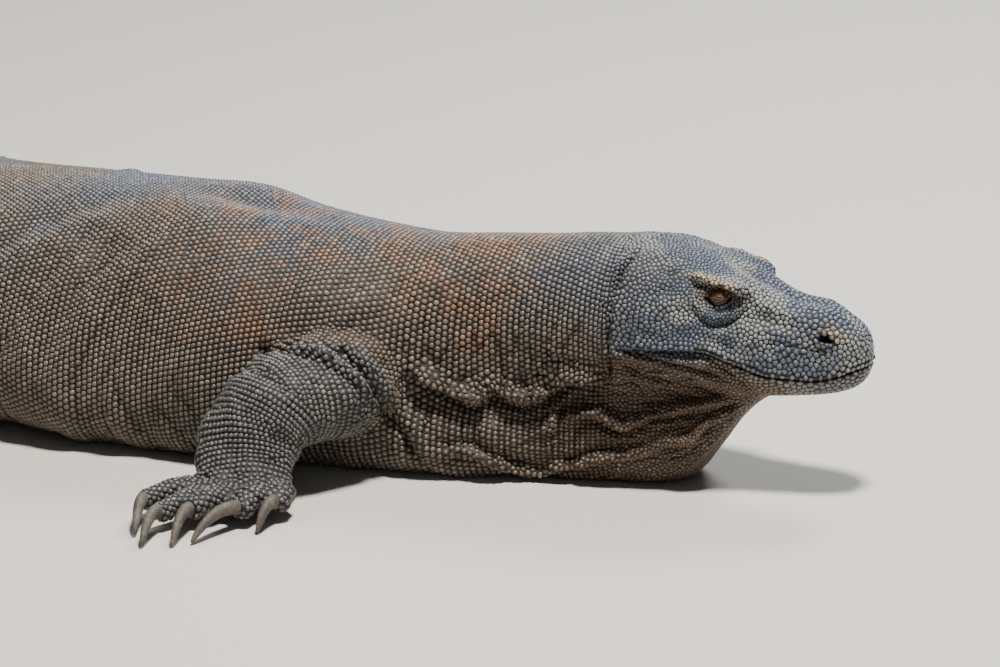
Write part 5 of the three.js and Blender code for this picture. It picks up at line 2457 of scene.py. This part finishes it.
@dataclass(frozen=True)
class HornFinish:
    """Worn grey horn with lengthwise streaks and earth in them."""

    dark: Colour = (0.045, 0.038, 0.031)
    light: Colour = (0.165, 0.14, 0.11)

    def material(self) -> bpy.types.Material:
        """The finish as a material.

        Returns:
            The material.
        """
        material, graph, shader = new_material("claw_horn")
        where = graph.add("ShaderNodeTexCoord").outputs["Object"]
        streaks, blotch = graph.noise(where, 3.0, 5.0, 0.65), graph.noise(where, 14.0)
        share = graph.maths("MULTIPLY", graph.step(streaks, 0.3, 0.7), graph.step(blotch, 0.2, 0.75))
        rough = graph.maths("MULTIPLY_ADD", streaks, 0.35, 0.5)
        bump = graph.add("ShaderNodeBump", {"Height": streaks, "Strength": 0.35, "Distance": 0.0008})
        graph.set(shader, {
            "Base Color": graph.mix(share, self.dark, self.light), "Roughness": rough,
            "Normal": bump.outputs["Normal"],
        })
        return material


@dataclass(frozen=True)
class EyeFinish:
    """A dark brown eye under a wet cornea."""

    iris: Colour = (0.05, 0.022, 0.007)
    dark: Colour = (0.012, 0.008, 0.005)

    def material(self) -> bpy.types.Material:
        """The finish as a material.

        Returns:
            The material.
        """
        material, graph, shader = new_material("eye_wet")
        where = graph.add("ShaderNodeTexCoord").outputs["Object"]
        flecks = graph.noise(where, 1.2, 4.0)
        colour = graph.mix(graph.step(flecks, 0.4, 0.7), self.dark, self.iris)
        graph.set(shader, {"Base Color": colour, "Roughness": 0.2, "Specular IOR Level": 0.3})
        return material


# -------------------- studio
@dataclass(frozen=True)
class Lamp:
    """A soft lamp: where it stands, its width, its power, its colour and what it looks at."""

    name: str
    place: tuple[float, float, float]
    size: float
    power: float
    colour: Colour
    target: tuple[float, float, float] = (0.6, -0.1, 0.1)


class Studio:
    """A pale floor, soft lamps and the camera."""

    LAMPS = (
        Lamp("key", (1.7, -0.45, 3.6), 0.6, 310.0, (1.0, 0.965, 0.91)),
        Lamp("fill", (3.4, -3.2, 1.4), 2.4, 6.0, (0.86, 0.92, 1.0)),
        Lamp("rear", (0.9, 2.4, 2.4), 1.2, 95.0, (0.93, 0.97, 1.0)),
    )
    FLOOR = (0.56, 0.53, 0.49)
    CAMERA = (3.6136, -4.2653, 1.6711)
    TURN = (73.0, 0.0, 32.0)
    LENS = 210.0
    SKY = (0.8, 0.86, 0.95)
    SKY_STRENGTH = 0.09

    def build(self) -> None:
        """Sets up the whole studio."""
        self._floor()
        self._lamps()
        self._sky()
        self._camera()

    def _lamps(self) -> None:
        """The soft lamps."""
        for lamp in self.LAMPS:
            light = bpy.data.lights.new(lamp.name, "AREA")
            light.shape, light.size = "DISK", lamp.size
            light.energy, light.color = lamp.power, lamp.colour
            obj = linked(lamp.name, light)
            obj.location = lamp.place
            aim = Vector(lamp.target) - Vector(lamp.place)
            obj.rotation_euler = aim.to_track_quat("-Z", "Y").to_euler()

    def _sky(self) -> None:
        """The faint light from all round."""
        world = bpy.data.worlds.new("studio")
        world.use_nodes = True
        tree = world.node_tree
        Graph(tree).set(tree.nodes["Background"], {"Color": self.SKY, "Strength": self.SKY_STRENGTH})
        bpy.context.scene.world = world

    def _camera(self) -> None:
        """The camera, which looks down on the animal's right side."""
        camera = bpy.data.cameras.new("camera")
        camera.lens, camera.sensor_width, camera.sensor_fit = self.LENS, 36.0, "HORIZONTAL"
        camera.clip_start, camera.clip_end = 0.05, 100.0
        obj = linked("camera", camera)
        obj.location = self.CAMERA
        obj.rotation_euler = tuple(math.radians(turn) for turn in self.TURN)
        bpy.context.scene.camera = obj

    def _floor(self) -> None:
        """A plain pale floor."""
        bm = bmesh.new()
        bmesh.ops.create_grid(bm, x_segments=2, y_segments=2, size=30.0)
        obj = object_of("floor", bm)
        material, graph, shader = new_material("floor")
        graph.set(shader, {"Base Color": self.FLOOR, "Roughness": 0.85})
        obj.data.materials.append(material)


def main() -> None:
    """Builds skin, coat, eyes, claws and studio in order."""
    markings_and_painted_light = markings_and_painted_light_group(HideColours())
    skin = Skin()
    Coat(skin.plain, skin.surface).build(HideFinish("scales_dry", 0.36, 0.25).material(markings_and_painted_light))
    skin.finish(HideFinish("hide_skin", 0.62, 0.5).material(markings_and_painted_light))
    wet = EyeFinish().material()
    for side in Side:
        Eyeball(side).build(wet)
    horn = HornFinish().material()
    for limb in LIMBS:
        ClawForm().build(limb, horn)
    Studio().build()


if __name__ == "__main__":
    main()
